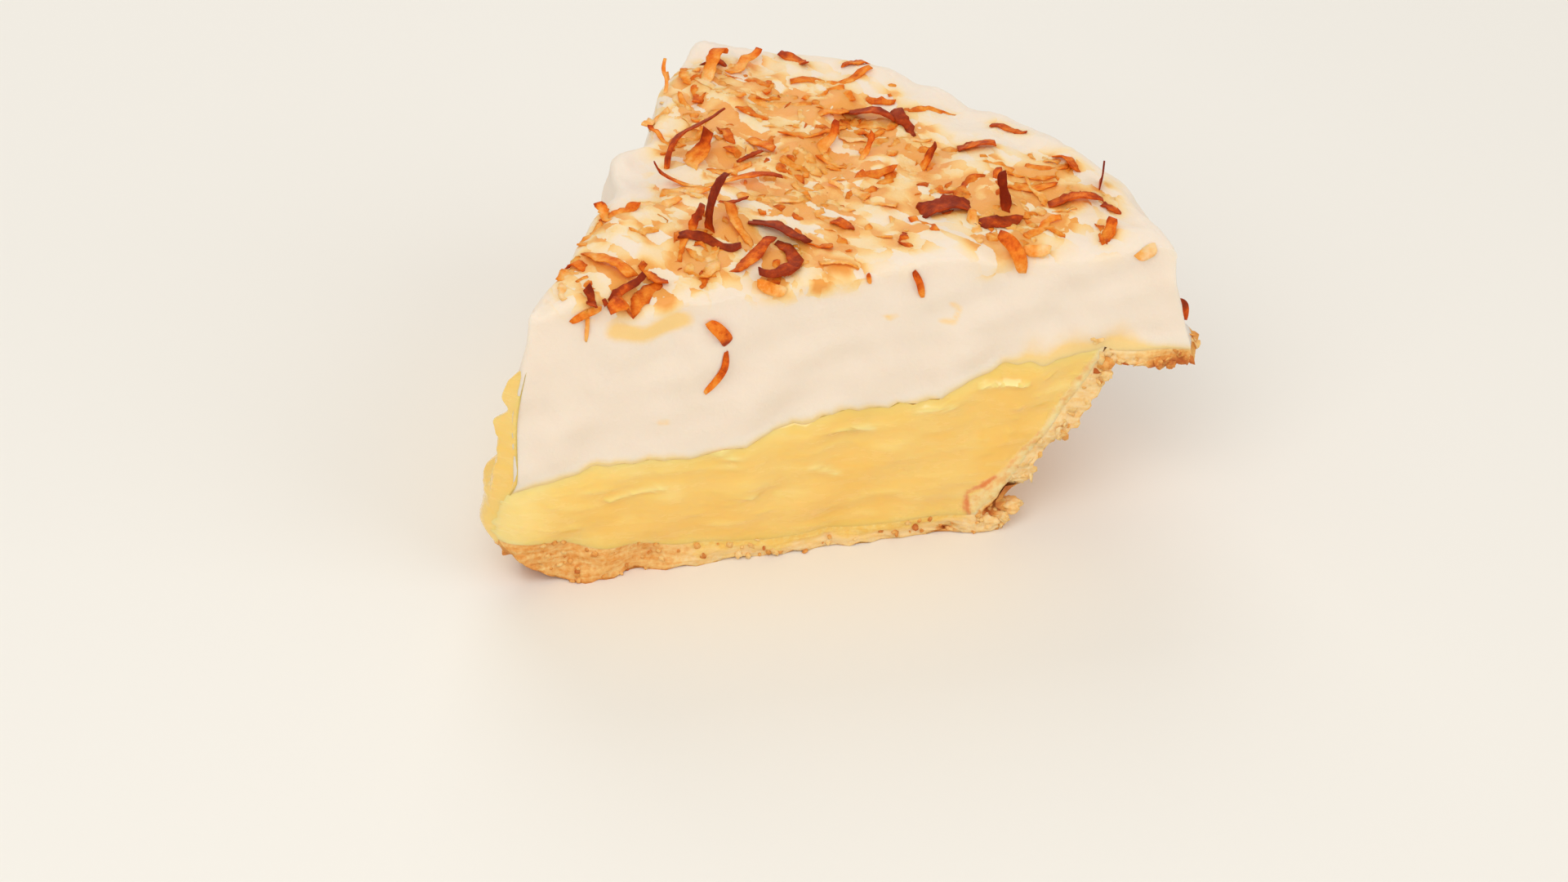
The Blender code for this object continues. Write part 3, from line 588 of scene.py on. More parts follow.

# %% [markdown]
# The crust is baked pastry. Where the knife went through it, it is pale, crumbly and in thin layers. Its
# outside is golden, with browner patches, and the rim is the brownest. Custard soaked into the cut crust
# just under it, which the shader shows as wet. Pits by the toe are given as strokes, each with a width.
# They are sunk in, and their colour is darkened too, a painted shade in them. A stroke is a line of points
# on the near cut: how far along the cut they are, and their height.

# %% Crust
def baked_pastry():
    """The crust's finish: baked on its outside, crumbly where it was cut, and wet beside the custard."""
    finish = Finish("baked_crust", Roughness=0.72, Specular_IOR_Level=0.25, Subsurface_Weight=0.15,
                    Subsurface_Radius=(1.0, 0.5, 0.2), Subsurface_Scale=1.5 * MM)
    # brown is the baked colour, and also a painted shade in the pits by the toe
    cut, brown, wet = (finish.measure(name) for name in ("cut", "brown", "wet"))
    patches, speckle = finish.noise(5.0), finish.noise(0.9, detail=4.0)
    layers = finish.noise(1.2, stretch=(4, 4, 0.6))
    baked = finish.ramp(
        (patches * 0.55 + speckle * 0.25 + brown * 0.55).between(0.1, 1.15),
        (0.0, 244, 206, 140), (0.35, 234, 180, 100),
        (0.65, 216, 142, 64), (1.0, 158, 80, 32),
    )
    crumb = finish.ramp(
        (layers * 0.5 + speckle * 0.5 + brown * 0.6).between(0.25, 1.15),
        (0.0, 250, 221, 168), (0.35, 245, 199, 126),
        (0.65, 234, 162, 80), (1.0, 192, 100, 42),
    )
    soaked = finish.mix(speckle.between(0.35, 0.75), colour(246, 198, 100), colour(249, 214, 130))
    share = (wet + (patches - 0.5) * 0.9).between(0.3, 0.7)
    finish.feed(
        Base_Color=finish.mix(share, finish.mix(cut, baked, crumb), soaked),
        Roughness=speckle * 0.2 + 0.62 - share * 0.3,
        Normal=finish.bump(layers * 0.4 + speckle * 0.6, 0.3),
    )
    return finish.material


# Pits by the toe: sunk in, and painted darker as a painted shade
TOE_HOLES = [
    ([(93.6, 4.4), (94.4, 5.4)], 1.5),
    ([(96.6, 8.6), (98.4, 6.6)], 1.5),
    ([(84.5, 0.6), (86.0, 1.0)], 0.8),
]
HOLE_DEPTH = 2.2
BAKED_LIP, LIP_SPREAD = [(123.5, 33.2), (129.0, 33.6)], 2.4

crust = Layer(RINGS, 150, 14, crust_outside, crust_inside, 0.02, 0.25)
crust_touch = np.where((crust.level == 1) & (crust.inside > 1.2), 0.0, 1.0)
wall = step(crust.ring, BASE_RING, BASE_RING + 2)
from_tip = tip_distance(crust.points)
flaky = fine_grain(crust.points, (3.2, 3.2, 1.2), 61) * crust.on_cut * 0.6
torn_foot = grain(crust.points, (3.4, 3.4, 9.0), 65) * crust.on_cut * np.exp(-crust.from_foot / 1.6) * 1.1
crumbly = fine_grain(crust.points, 1.8, 62) * (0.16 + 0.34 * wall)
blisters = np.maximum(grain(crust.points, 4.5, 63), 0) * 0.5 * wall
resting = np.where((crust.level == 0) & (crust.points[:, 2] < 0.4) & (crust.inside > 0.5), 0.0, 1.0)
joined = np.where(crust.on_cut > 0, step(crust.from_top, 0.0, 1.6), 1.0)
pits_and_painted_shade = sum(near_stroke(crust.points, line, width) for line, width in TOE_HOLES)
crust.push((flaky + torn_foot + crumbly + blisters) * crust_touch * resting * joined)
crust.push(-HOLE_DEPTH * pits_and_painted_shade * crust.on_cut * joined)
crust.points[:, 2] = np.maximum(crust.points[:, 2], 0)
rim = step(crust.ring, 16.5, 20) * (0.3 + 0.6 * grain(crust.points, 6.0, 64))
tip = 0.35 * (1 - step(from_tip, 28, 42))
soaked = crust.on_cut * step(from_tip, 26, 44) * (1 - step(from_tip, 84, 94)) * np.exp(-crust.from_top / 4.5)
lip = near_stroke(crust.points, BAKED_LIP, 1.7)
# Baked browning of the rim, tip, lip and outside, plus a painted shade in the pits
brown = rim + tip + pits_and_painted_shade + 0.9 * lip + 0.25 * (crust.level == 0)
crust_looks = new_piece(
    "crust_looks", crust.points, crust.quads, baked_pastry(), "baked_crust", crease=70,
    cut=crust.on_cut, brown=np.clip(brown, 0, 1), wet=soaked,
)
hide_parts("crust")

# %% [markdown]
# The custard is cut cold, so its sides are smooth and wet, with small torn ridges where it stuck to the
# knife. It is a little see-through: light goes in and comes out yellow, which is what subsurface
# scattering does. Ridges are real relief, long along the cut and short in height, and are painted paler
# as a painted highlight. Glints are small ridges along strokes, painted paler as painted highlights, and
# the rounded tip has a painted highlight too. One brown stroke runs down by the toe.

# %% Custard
def set_custard(name, depth):
    """The custard's finish. Light goes in as deep as the depth in millimetres, less where it is thin."""
    finish = Finish(name, Roughness=0.3, Specular_IOR_Level=0.5, Subsurface_Weight=0.4,
                    Subsurface_Radius=(1.0, 0.6, 0.18), Subsurface_Scale=depth * MM, Coat_Roughness=0.1)
    clouds, streaks = finish.noise(14.0), finish.noise(2.2, detail=4.0, stretch=(3, 3, 0.8))
    pale, crumb, brown = (finish.measure(name) for name in ("pale", "crumb", "brown"))
    flecks = finish.noise(1.8, detail=4.0)
    # pale lifts the colour: paler by the top, and painted highlights on ridges, glints and the tip
    body = finish.ramp(
        (clouds * 0.55 + streaks * 0.15 + pale * 0.6).between(0.1, 1.05),
        (0.0, 248, 196, 94), (0.45, 251, 208, 110), (1.0, 255, 224, 142),
    )
    crumbs = finish.ramp(
        flecks.between(0.25, 0.8),
        (0.0, 255, 226, 166), (0.5, 252, 208, 136), (1.0, 242, 170, 92),
    )
    share = (crumb + (flecks - 0.5) * 0.8).between(0.25, 0.65)
    streaked = (brown + brown * (flecks - 0.5) * 1.6).between(0.3, 1.1)
    finish.feed(
        Base_Color=finish.mix(streaked, finish.mix(share, body, crumbs), colour(230, 132, 60)),
        Roughness=streaks * 0.3 + 0.1 + share * 0.3,
        Coat_Weight=(streaks * 0.6 + clouds * 0.4).between(0.35, 0.6) * (1.0 - share),
        Normal=finish.bump(streaks * 0.25 + flecks * share * 0.8, 0.35),
    )
    return finish.material


# Strokes on the near cut that are raised and painted paler: painted highlights
GLINTS = [
    [(39.5, 25.8), (44.0, 23.8)], [(63.1, 27.1), (68.8, 26.5)], [(78.9, 29.6), (84.5, 30.1)],
    [(90.1, 33.0), (98.2, 33.2)], [(63.4, 17.2), (58.8, 19.7)], [(46.6, 14.9), (46.8, 14.9)],
    [(69.8, 6.6), (70.0, 6.6)], [(64.3, 3.4), (64.6, 3.4)], [(20.0, 18.0), (30.0, 19.5)],
]
GLINT_WIDTH, GLINT_HEIGHT = 0.6, 0.8
BROWN_LINE, BROWN_LINE_WIDTH = [(93.6, 12.6), (88.5, 9.1), (89.5, 2.5)], 0.8

custard_finish, thin_custard = set_custard("custard", 3.0), set_custard("thin_custard", 0.7)
custard = Layer(LIP_RING, 120, 46, crust_inside, custard_top, 0.02, 0.02)
ridges = np.maximum(grain(custard.points, (7.0, 7.0, 2.6), 71), 0.08) - 0.08
torn = np.maximum(grain(custard.points, (3.0, 3.0, 1.4), 72) - 0.2, 0)
scoops = np.maximum(grain(custard.points, (9.0, 9.0, 5.0), 74) - 0.1, 0)
relief = 0.5 * ridges + 0.7 * torn - 0.6 * scoops
custard.push(custard.on_cut * relief * step(custard.from_top, 0.0, 2.0) * step(custard.from_foot, 0.0, 1.5))
glints = sum(near_stroke(custard.points, line, GLINT_WIDTH) for line in GLINTS)
custard.push(GLINT_HEIGHT * glints * custard.on_cut * step(custard.from_foot, 0.0, 1.5))
from_tip = tip_distance(custard.points)
depth = 7.0 - 4.0 * step(custard.points[:, 2], 10.0, 24.0)
crumb = custard.on_cut * step(custard.ring, 7.3, 9.0) * np.exp(-((custard.from_foot / depth) ** 2))
# Paler by the top; the ridges, the tip and the glints are painted paler as painted highlights
pale = 0.4 * np.exp(-custard.from_top / 4.0) + 0.6 * ridges + 0.8 * np.exp(-from_tip / 9) + 0.7 * glints
custard_looks = new_piece(
    "custard_looks", custard.points, custard.quads, custard_finish, "custard", crease=60,
    pale=np.clip(pale, 0, 1.2), crumb=crumb,
    brown=near_stroke(custard.points, BROWN_LINE, BROWN_LINE_WIDTH),
)
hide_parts("custard")

# %% [markdown]
# The meringue is a dense foam. Its cut sides are smooth and matt with a few dimples, and its top is
# hummocky. The oven stained the top gold, most of all round the coconut. That stain comes last, because
# it depends on where the coconut lies. The knife left traces of custard on the near cut: strokes, each with
# a width and an amount.

# %% Meringue
def baked_foam():
    """The meringue's finish: pale foam, with golden stains on top and traces of custard on the cuts."""
    finish = Finish("meringue", Roughness=0.55, Specular_IOR_Level=0.35, Subsurface_Weight=0.4,
                    Subsurface_Radius=(1.0, 0.75, 0.55), Subsurface_Scale=2.5 * MM)
    toast, yolk = finish.measure("toast"), finish.measure("yolk")
    clouds, fine = finish.noise(7.0, detail=4.0), finish.noise(0.8, detail=3.0)
    one_way, other_way = finish.cells((3.0, 6.5, 3.0), 25), finish.cells((3.2, 7.5, 3.2), -50)
    flakes = finish.mix(finish.noise(12.0, detail=1.0).between(0.45, 0.55), one_way, other_way)
    stain = (toast * (flakes * 3.2 + clouds * 1.1 + fine * 0.3 - 1.25)).between(0.0, 1.15) + toast * 0.12
    skin = finish.ramp(
        stain,
        (0.0, 243, 227, 208), (0.18, 249, 221, 176),
        (0.42, 251, 211, 146), (0.7, 249, 193, 112), (1.0, 241, 165, 76),
    )
    pores = finish.noise(0.45, detail=2.0)
    traces = (yolk + yolk * (clouds - 0.5) * 1.6).between(0.15, 0.9)
    finish.feed(
        Base_Color=finish.mix(traces, skin, colour(252, 212, 142)),
        Roughness=0.62 - stain * 0.18,
        Normal=finish.bump(clouds * 0.5 + fine * 0.3 + pores * 0.2 + stain * 0.6, 0.25),
    )
    return finish.material


CUT_MARKS = [
    ([(21.0, 53.8), (26.1, 52.6), (33.0, 54.8)], 2.0, 1.1),
    ([(29.6, 33.1), (30.0, 33.1)], 0.9, 0.8),
    ([(71.6, 50.3), (72.4, 50.3)], 0.9, 1.0),
    ([(81.5, 48.0), (84.0, 47.5), (85.0, 50.0), (83.3, 51.5)], 0.8, 0.6),
]

meringue = Layer(RINGS, 168, 44, meringue_underside, meringue_outside, 1.5, 0.02)
free = np.where((meringue.level == 0) & (meringue.inside > 1.0), 0.0, 1.0)
upper = (meringue.level == 1).astype(float)
hummocks = upper * (0.40 * grain(meringue.points, 6.0, 81) + 0.20 * fine_grain(meringue.points, 2.4, 82))
dimples = -np.maximum(grain(meringue.points, 2.6, 83) - 0.5, 0) * 1.1
drag = 0.05 * grain(meringue.points, 7.0, 84) + 0.03 * fine_grain(meringue.points, 1.8, 85)
pitted = (dimples + meringue.on_cut * drag) * step(meringue.from_foot, 0.0, 3.0)
meringue.push(free * (hummocks + pitted))
from_tip = tip_distance(meringue.points)
smeared = step(from_tip, 90, 104) * (1 - step(from_tip, 116, 124)) * np.exp(-meringue.from_foot / 5.0)
marks = sum(amount * near_stroke(meringue.points, line, width) for line, width, amount in CUT_MARKS)
yolk = marks + meringue.on_cut * np.clip(0.9 * np.exp(-meringue.from_foot / 1.1) + smeared, 0, 1)
meringue_looks = new_piece(
    "meringue_looks", meringue.points, meringue.quads, baked_foam(), "meringue", crease=60,
    toast=np.zeros(len(meringue.points)), yolk=yolk,
)
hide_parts("meringue")

# %% [markdown]
# Shredded coconut is thin curled ribbon. A shred here is a path with a section carried along it. The path
# turns evenly in plan, and how steeply it climbs is given at its start, middle and end. The section is a
# flat oval that cups and twists. All shreds of a kind are worked out at once, as arrays of shred by step
# along by step around.

# %% How a shred is made
SEGMENTS, AROUND = 14, 8
STEEP_SINK = 0.9
EDGE_FALL, EDGE_HEIGHT = 4.5, TOP_HEIGHT - 1.0


def shred_paths(shreds, segments):
    """Paths whose heights count from their lowest point, their bearings, and how deep each is to be sunk.

    Along the share t of a shred's length, its bearing is heading + turn (t - 1/2). Its climb is the parabola
    through the three given climbs. Each step of the path goes cos(climb) in plan and sin(climb) up. A shred
    that meets the top steeply is stuck deeper into it.
    """
    x, y, heading, length, _, turn, start, middle, end = (column[:, None] for column in shreds.T)
    share = (np.arange(segments) + 0.5)[None, :] / segments
    bearing = np.radians(heading + turn * (share - 0.5))
    climb = start * (1 - share) * (1 - 2 * share) + 4 * middle * share * (1 - share)
    climb = np.radians(climb + end * share * (2 * share - 1))
    ways = np.cos(climb) * np.cos(bearing), np.cos(climb) * np.sin(bearing), np.sin(climb)
    steps = np.stack(ways, axis=-1)
    path = np.zeros((len(shreds), segments + 1, 3))
    path[:, 1:] = np.cumsum(steps * (length / segments)[..., None], axis=1)
    path[..., :2] += np.stack([x, y], axis=-1) - path[..., :2].mean(axis=1, keepdims=True)
    lowest = path[..., 2].argmin(axis=1)
    path[..., 2] -= path[..., 2].min(axis=1, keepdims=True)
    steep = np.sin(climb[np.arange(len(shreds)), np.minimum(lowest, segments - 1)])
    bearings = np.radians(heading + turn * (np.linspace(0, 1, segments + 1)[None, :] - 0.5))
    return path, bearings, STEEP_SINK * steep**2


def ribbon(centre, side, width, thickness, cup, twist, slant):
    """Points of closed ribbons: an oval section, cupped by the square of its place across, turned by a twist.

    centre and side are shred by step by 3, and width, cup, twist and slant are shred by step. The slant
    moves a point along the ribbon in proportion to its place across, which cuts an end askew.
    """
    forward = unit(np.gradient(centre, axis=1))
    up = np.cross(forward, side)
    cos, sin = np.cos(twist)[..., None], np.sin(twist)[..., None]
    side, up = side * cos + up * sin, up * cos - side * sin
    turn = np.linspace(0, 2 * math.pi, AROUND, endpoint=False) + math.pi / AROUND
    across = np.sign(np.cos(turn)) * np.abs(np.cos(turn)) ** 0.8 * width[..., None] / 2
    lift = np.sign(np.sin(turn)) * np.abs(np.sin(turn)) ** 0.6 * thickness / 2 + cup[..., None] * across**2
    moves = zip((side, up, forward), (across, lift, slant[..., None] * across))
    return centre[:, :, None] + sum(way[:, :, None] * amount[..., None] for way, amount in moves)


def ribbon_faces(count, along, around):
    """Quads along every ribbon and one flat face at each end."""
    index = np.arange(count * along * around).reshape(count, along, around)
    after = np.roll(index, -1, axis=2)
    quads = np.stack([index[:, :-1], after[:, :-1], after[:, 1:], index[:, 1:]], axis=-1).reshape(-1, 4)
    return quads.tolist() + index[:, 0, ::-1].tolist() + index[:, -1, :].tolist()


def toasted_coconut():
    """The coconut's finish, from cream to dark brown by the tone of each point."""
    finish = Finish("toasted_coconut", Roughness=0.6, Specular_IOR_Level=0.15, Subsurface_Weight=0.3,
                    Subsurface_Radius=(1.0, 0.35, 0.05), Subsurface_Scale=1.2 * MM)
    tone = finish.measure("tone")
    mottle, fibres = finish.noise(2.0, detail=4.0), finish.noise(0.4, detail=3.0)
    browned = (tone + (mottle - 0.5) * 0.85 + (fibres - 0.5) * 0.16).between(-0.1, 1.1)
    finish.feed(
        Base_Color=finish.ramp(
            browned,
            (0.0, 255, 212, 158), (0.2, 254, 182, 98), (0.42, 246, 144, 44),
            (0.62, 228, 106, 14), (0.8, 184, 66, 4), (1.0, 126, 34, 2),
        ),
        Roughness=fibres * 0.25 + 0.45,
        Normal=finish.bump(fibres * 0.6 + mottle * 0.4, 0.15),
    )
    return finish.material


def ground_finder(piece):
    """A function from points in plan to the height of the piece's top there.

    Past the top's edge, where a ray from above meets a cut far below or nothing, the top is carried on.
    """
    tree = tree_of(piece)
    above, down = 0.2, Vector((0, 0, -1))

    def height(plan):
        spots = (plan.reshape(-1, 2) - FOOTPRINT_MIDDLE) * MM
        hits = [tree.ray_cast(Vector((x, y, above)), down)[0] for x, y in spots.tolist()]
        found = np.array([0.0 if hit is None else hit.z / MM for hit in hits])
        return np.where(found < TOP_HEIGHT - EDGE_FALL, EDGE_HEIGHT, found).reshape(plan.shape[:-1])

    return height


coconut_finish = toasted_coconut()
top_of_meringue = ground_finder(meringue_looks)
print("top at the middle of the slice:", top_of_meringue(np.array([[60.0, 0.0]])).round(2))

# %% [markdown]
# The shreds that catch the eye are placed one by one. Each has its middle, heading, length, width, turn, and
# its climb at the start, middle and end in degrees, so that 90 stands upright. The last number, from 0 to
# 1, is how dark it is toasted.

# %% Shreds that stand out
STANDING_SHREDS = np.array([
    # The back corner
    (85, 34, 24, 11, 2.8, 10, 20, 25, -70, 0.50),
    (87, 36, -60, 6, 2.2, 20, 30, 0, -40, 0.85),
    (92, 33, 11, 10.5, 2.6, 10, 5, 15, 15, 0.48),
    (101, 28, -93, 8, 2.6, -40, -20, 0, 30, 0.72),
    (109, 19, -35, 6, 3.0, 0, 10, 5, 0, 0.60),
    (101, 18, -36, 16, 1.9, 30, 0, 0, 15, 0.50),
    (87, 18, -47, 12, 2.6, 15, 0, 0, 0, 0.32),
    # The far edge, with a tall arch and a broad leaf under it
    (75, 37, 48, 8, 0.8, 0, 70, 80, 85, 0.30),
    (63, 26, -100, 7, 1.1, 20, -45, -20, 0, 0.60),
    (62, 17, -3, 17, 2.0, -35, 85, 15, 25, 0.72),
    (62, 14, 21, 9, 4.2, 10, 25, 25, 30, 0.66),
    (71, 16, -114, 5.5, 2.2, 10, 25, 0, -15, 0.60),
    (74, 10, -91, 7.5, 2.2, 10, 25, 5, 0, 0.50),
    (69, 8, -41, 5, 1.3, 30, 10, 20, 0, 0.88),
    (57, 5, -37, 26, 2.2, -30, -75, 8, -6, 0.70),
    # The middle and the outer edge
    (92, 9, -30, 6.5, 1.8, 20, 45, 10, -5, 0.45),
    (84, 2, 8, 7, 2.4, 10, 30, 35, 45, 0.55),
    (97, 4, -65, 11, 3.0, 0, 35, 5, -35, 0.85),
    (96, 2, -57, 9, 3.8, 0, 0, 0, 0, 0.42),
    (103, 7, -65, 6, 2.0, 10, 15, 5, -10, 0.60),
    (100, -2, -110, 10, 2.8, 10, 20, -5, -15, 0.88),
    (87, -5, 9, 6, 1.2, 10, 30, 45, 60, 0.62),
    (83, -11, -40, 7.5, 2.2, -15, 0, 5, 25, 0.55),
    (107, -2, -39, 10, 1.5, 10, 0, 0, 0, 0.50),
    (103, -18, -53, 7, 3.0, 0, 10, 10, -10, 0.66),
    (113, -17, -76, 7.5, 2.0, 0, 5, 0, 5, 0.70),
    (93, -15, -40, 6, 2.6, 0, 60, 60, 75, 0.66),
    # The near right, with two spikes and a dark dome
    (92, -35, 72, 8, 2.0, 20, 70, 75, 80, 0.97),
    (83, -29, -36, 10, 4.6, 0, 30, 0, -35, 0.90),
    (88, -38, -16, 9, 3.6, 30, 10, 5, 0, 0.88),
    (101, -34, -39, 9, 2.6, 0, 5, 0, 10, 0.50),
    (107, -32, -52, 8, 1.5, 0, 0, 0, 10, 0.50),
    (66, -19, -74, 5, 3.0, 0, 30, 0, -10, 0.68),
    (93, -44, 0, 9, 1.8, -30, 0, 5, 10, 0.45),
    (103, -43, -49, 10, 3.0, 0, 10, 10, -10, 0.70),
    (110, -43, -45, 6.5, 3.0, 0, 80, 85, 90, 0.95),
    (111, -34, -103, 6.5, 2.8, 0, 25, 0, -10, 0.62),
    (107, -48, -66, 4.5, 2.2, 0, 40, 0, -30, 0.72),
    (101, -53, 22, 5.5, 2.6, 0, 0, 15, 30, 0.62),
    # The dark group, with a tall hook
    (45, -7, 0, 13, 2.6, 0, 100, 80, 5, 0.90),
    (44, -4, 20, 8, 1.8, 30, 85, 30, -50, 0.80),
    (55, -2, -36, 5.5, 1.2, 0, 5, 15, 25, 0.88),
    (42, -9, -57, 12, 2.4, 25, 20, -5, 25, 0.92),
    (49, -10, -106, 11, 2.3, 15, -15, -12, 0, 0.50),
    (55, -14, -78, 13, 3.2, -40, 15, 5, -15, 0.92),
    (45, -17, 7, 12, 3.0, -20, 0, 10, 15, 0.75),
    (49, -21, -150, 17, 3.2, -150, 5, 5, 10, 0.90),
    (56, -28, -55, 7, 3.2, 0, 0, 0, 0, 0.30),
    (62, -5, -39, 13, 2.4, 20, 0, 0, 0, 0.30),
    (66, -13, -104, 10, 2.4, 10, 0, 0, 0, 0.33),
    # The tip
    (34, 10, -104, 6, 2.4, 10, -50, -30, 0, 0.55),
    (36, 8, -15, 7, 2.2, 10, 0, 5, 35, 0.55),
    (20, 2, -92, 4.5, 2.8, 0, 10, -10, -20, 0.62),
    (24, -2, -83, 11, 3.0, 15, 20, 5, -5, 0.45),
    (21, -9, -1, 10, 1.8, 10, 10, 15, 20, 0.95),
    (22, -11, 2, 13, 3.6, 0, 5, 0, 0, 0.62),
    (15, -7, -116, 5, 2.0, 0, -30, -10, 20, 0.85),
    (13, -2, -129, 5, 2.0, 0, 0, 0, 0, 0.20),
])


SWING, RAGGED, END_TAPER, LAST_TAPER = (0.01, 0.045), 0.10, (0.0, 0.35), (0.0, 0.5)
LYING_TWIST, STANDING_TWIST, END_SLANT = (-18, 18), (-25, 25), (-0.9, 0.9)
STANDS_AT, FOOT_PALER, STANDING_DARKER, ENDS_DARKER, ALL_PALER, SIDES_DARKER = 3, 0.38, 0.12, 0.10, 0.04, 0.03


def coconut_piece(name, shreds, tones, seed, segments=SEGMENTS, thickness=0.36, sink=0.1, press=0.35,
                  cups=(-0.02, 0.12)):
    """One mesh of many shreds that lie on the meringue. Gives their paths and how much each one stains.

    What lies flat is pressed into the foam here and there, by up to the press, so its outline is broken.
    """
    draw = np.random.default_rng(seed)
    count = len(shreds)

    def each(low, high):
        """A random number for every shred."""
        return draw.uniform(low, high, (count, 1))

    path, bearing, steep_sink = shred_paths(shreds, segments)
    share = np.linspace(0, 1, segments + 1)[None, :]
    height = path[..., 2].copy()
    side = np.stack([-np.sin(bearing), np.cos(bearing), 0 * bearing], axis=-1)
    swing = each(*SWING) * shreds[:, 3:4] * np.sin(share * each(5, 11) + each(0, 6))
    path += swing[..., None] * side
    path[..., 2] += top_of_meringue(path[..., :2]) + thickness / 2 - sink - steep_sink[:, None]
    ragged = 1 + RAGGED * np.sin(share * each(6, 14) + each(0, 6))
    ragged = ragged + RAGGED * draw.normal(size=(count, segments + 1))
    taper = 1 - each(*END_TAPER) * np.abs(2 * share - 1) ** 5
    taper = taper * (1 - each(*LAST_TAPER) * share**2)
    standing = np.clip(height / STANDS_AT, 0, 1)
    twist = np.radians(each(*LYING_TWIST) + each(*STANDING_TWIST) * standing)
    cup = each(*cups) + 0 * share
    slant = each(*END_SLANT) * np.abs(2 * share - 1) ** 4
    points = ribbon(path, side, shreds[:, 4:5] * taper * ragged, thickness, cup, twist, slant)
    pressed = np.clip(0.4 + 1.5 * grain(points.reshape(-1, 3), (2.0, 2.0, 9.0), seed), 0, 1)
    points[..., 2] -= press * pressed.reshape(points.shape[:3]) * (1 - standing)[..., None]
    foot = np.clip(height.max(axis=1, keepdims=True) - 1, 0, 3) / 3 * (1 - standing)
    tone = tones[:, None] - FOOT_PALER * foot + STANDING_DARKER * standing
    tone = tone + ENDS_DARKER * (2 * share - 1) ** 2 - ALL_PALER
    rim = SIDES_DARKER * np.cos(2 * np.linspace(0, 2 * math.pi, AROUND, endpoint=False))
    new_piece(
        name, points.reshape(-1, 3), ribbon_faces(*points.shape[:3]), coconut_finish,
        "toasted_coconut", tone=(tone[..., None] + rim).reshape(-1),
    )
    return path, shreds[:, 3] * shreds[:, 4] * (0.45 + 0.55 * tones)


standing = coconut_piece("coconut_standing", STANDING_SHREDS[:, :9], STANDING_SHREDS[:, 9], seed=91)

# %% [markdown]
# The rest of the coconut is scattered by a seeded draw. The larger shreds are the same as on the solid
# slice. Shorter, flatter ones fill in between, pressed into the foam. Each is drawn between a smallest and a
# largest: heading, length, width, turn and the three climbs. The outer edge stays almost bare, and so do a
# few patches, each the inside of an ellipse given by its middle, half length, half width and turn.

# %% Scattered shreds
SCATTER_SEED, SCATTER_DRAWS, SCATTER_SPACING, BARE_CUT, BARE_RIM = 7, 500, 5.2, 6.0, 10.0
SHRED_SMALLEST = (-180, 4.5, 1.6, -50, -20, 0, 0)
SHRED_LARGEST = (180, 10, 3.2, 50, 10, 5, 25)
SMALL_DRAWS, SMALL_SEED, SMALL_SEGMENTS, SMALL_BARE_RIM, STEEP_EDGE = 210, 94, 12, 4, 2.2
SMALL_SMALLEST = (-180, 3.5, 1.6, -30, 0, 0, 0)
SMALL_LARGEST = (180, 9.0, 4.6, 30, 8, 0, 10)
TONE_SEED, LYING_TONES, SMALL_TONES = 92, (0.2, 0.65), (0.16, 0.62)
WHITE_PATCHES = [
    (47, 15, 17, 7, 27), (32, -4, 3.5, 7, 0), (60, -1, 5, 3, -35), (78, 24, 3, 5, 60),
    (60, -27, 6, 3, -30), (83, -18, 5, 2.5, -10), (98, 24, 4, 6, 80), (76, -4, 4, 2.5, 60),
    (108, -10, 6, 9, 90), (96, -24, 3, 4, 0),
]


def from_ellipses(plan, ellipses):
    """How far each point is from the middle of the nearest ellipse, where 1 is the ellipse itself."""
    away = []
    for x, y, half_length, half_width, turn in ellipses:
        cos, sin = math.cos(math.radians(turn)), math.sin(math.radians(turn))
        along, across = ((plan - (x, y)) @ np.array([[cos, -sin], [sin, cos]])).T
        away.append(np.hypot(along / half_length, across / half_width))
    return np.min(away, axis=0)


def scattered_shreds():
    """Shreds drawn one by one, each kept if it is clear of edges, white patches and the ones before it."""
    draw = np.random.default_rng(SCATTER_SEED)
    taken = [tuple(shred[:2]) for shred in STANDING_SHREDS]
    shreds = []
    for _ in range(SCATTER_DRAWS):
        angle = (draw.random() - 0.5) * SLICE_ANGLE
        distance = math.sqrt(draw.random()) * reach(angle, MERINGUE_RADIUS - BARE_RIM)
        spot = (distance * math.cos(angle), distance * math.sin(angle))
        shape = draw.uniform(SHRED_SMALLEST, SHRED_LARGEST)
        from_cut = min(cut_distances(np.array([spot])))[0]
        from_others = min(math.dist(spot, other) for other in taken)
        from_patch = from_ellipses(np.array([spot]), WHITE_PATCHES)[0]
        if from_cut > BARE_CUT and from_others > SCATTER_SPACING and from_patch > 1:
            taken.append(spot)
            shreds.append((*spot, *shape))
    return np.array(shreds)


def covered(plan):
    """From 0 to 1, how much coconut belongs at each point: little by the edges and in the white patches."""
    near, far = cut_distances(plan)
    radius = np.hypot(*(plan - PIE_CENTRE).T) - 9 * (1 - step(plan[:, 1], -38, -14))
    share = step(near, -1.0, 5.0) * step(far, 7.0, 12.0) * (1 - 0.85 * step(radius, 82, 92))
    return share * step(from_ellipses(plan, WHITE_PATCHES), 0.7, 1.3)


def small_shreds(count, seed, smallest, largest):
    """Small flat shreds over the top, each kept with the chance that its place is covered."""
    draw = np.random.default_rng(seed)
    angle = (draw.random(count) - 0.5) * SLICE_ANGLE
    distance = np.sqrt(draw.random(count)) * reach(angle, MERINGUE_RADIUS - SMALL_BARE_RIM)
    plan = np.column_stack([distance * np.cos(angle), distance * np.sin(angle)])
    keep = draw.random(count) < covered(plan)
    shape = draw.uniform(smallest, largest, (count, 7))
    return np.column_stack([plan, shape])[keep]


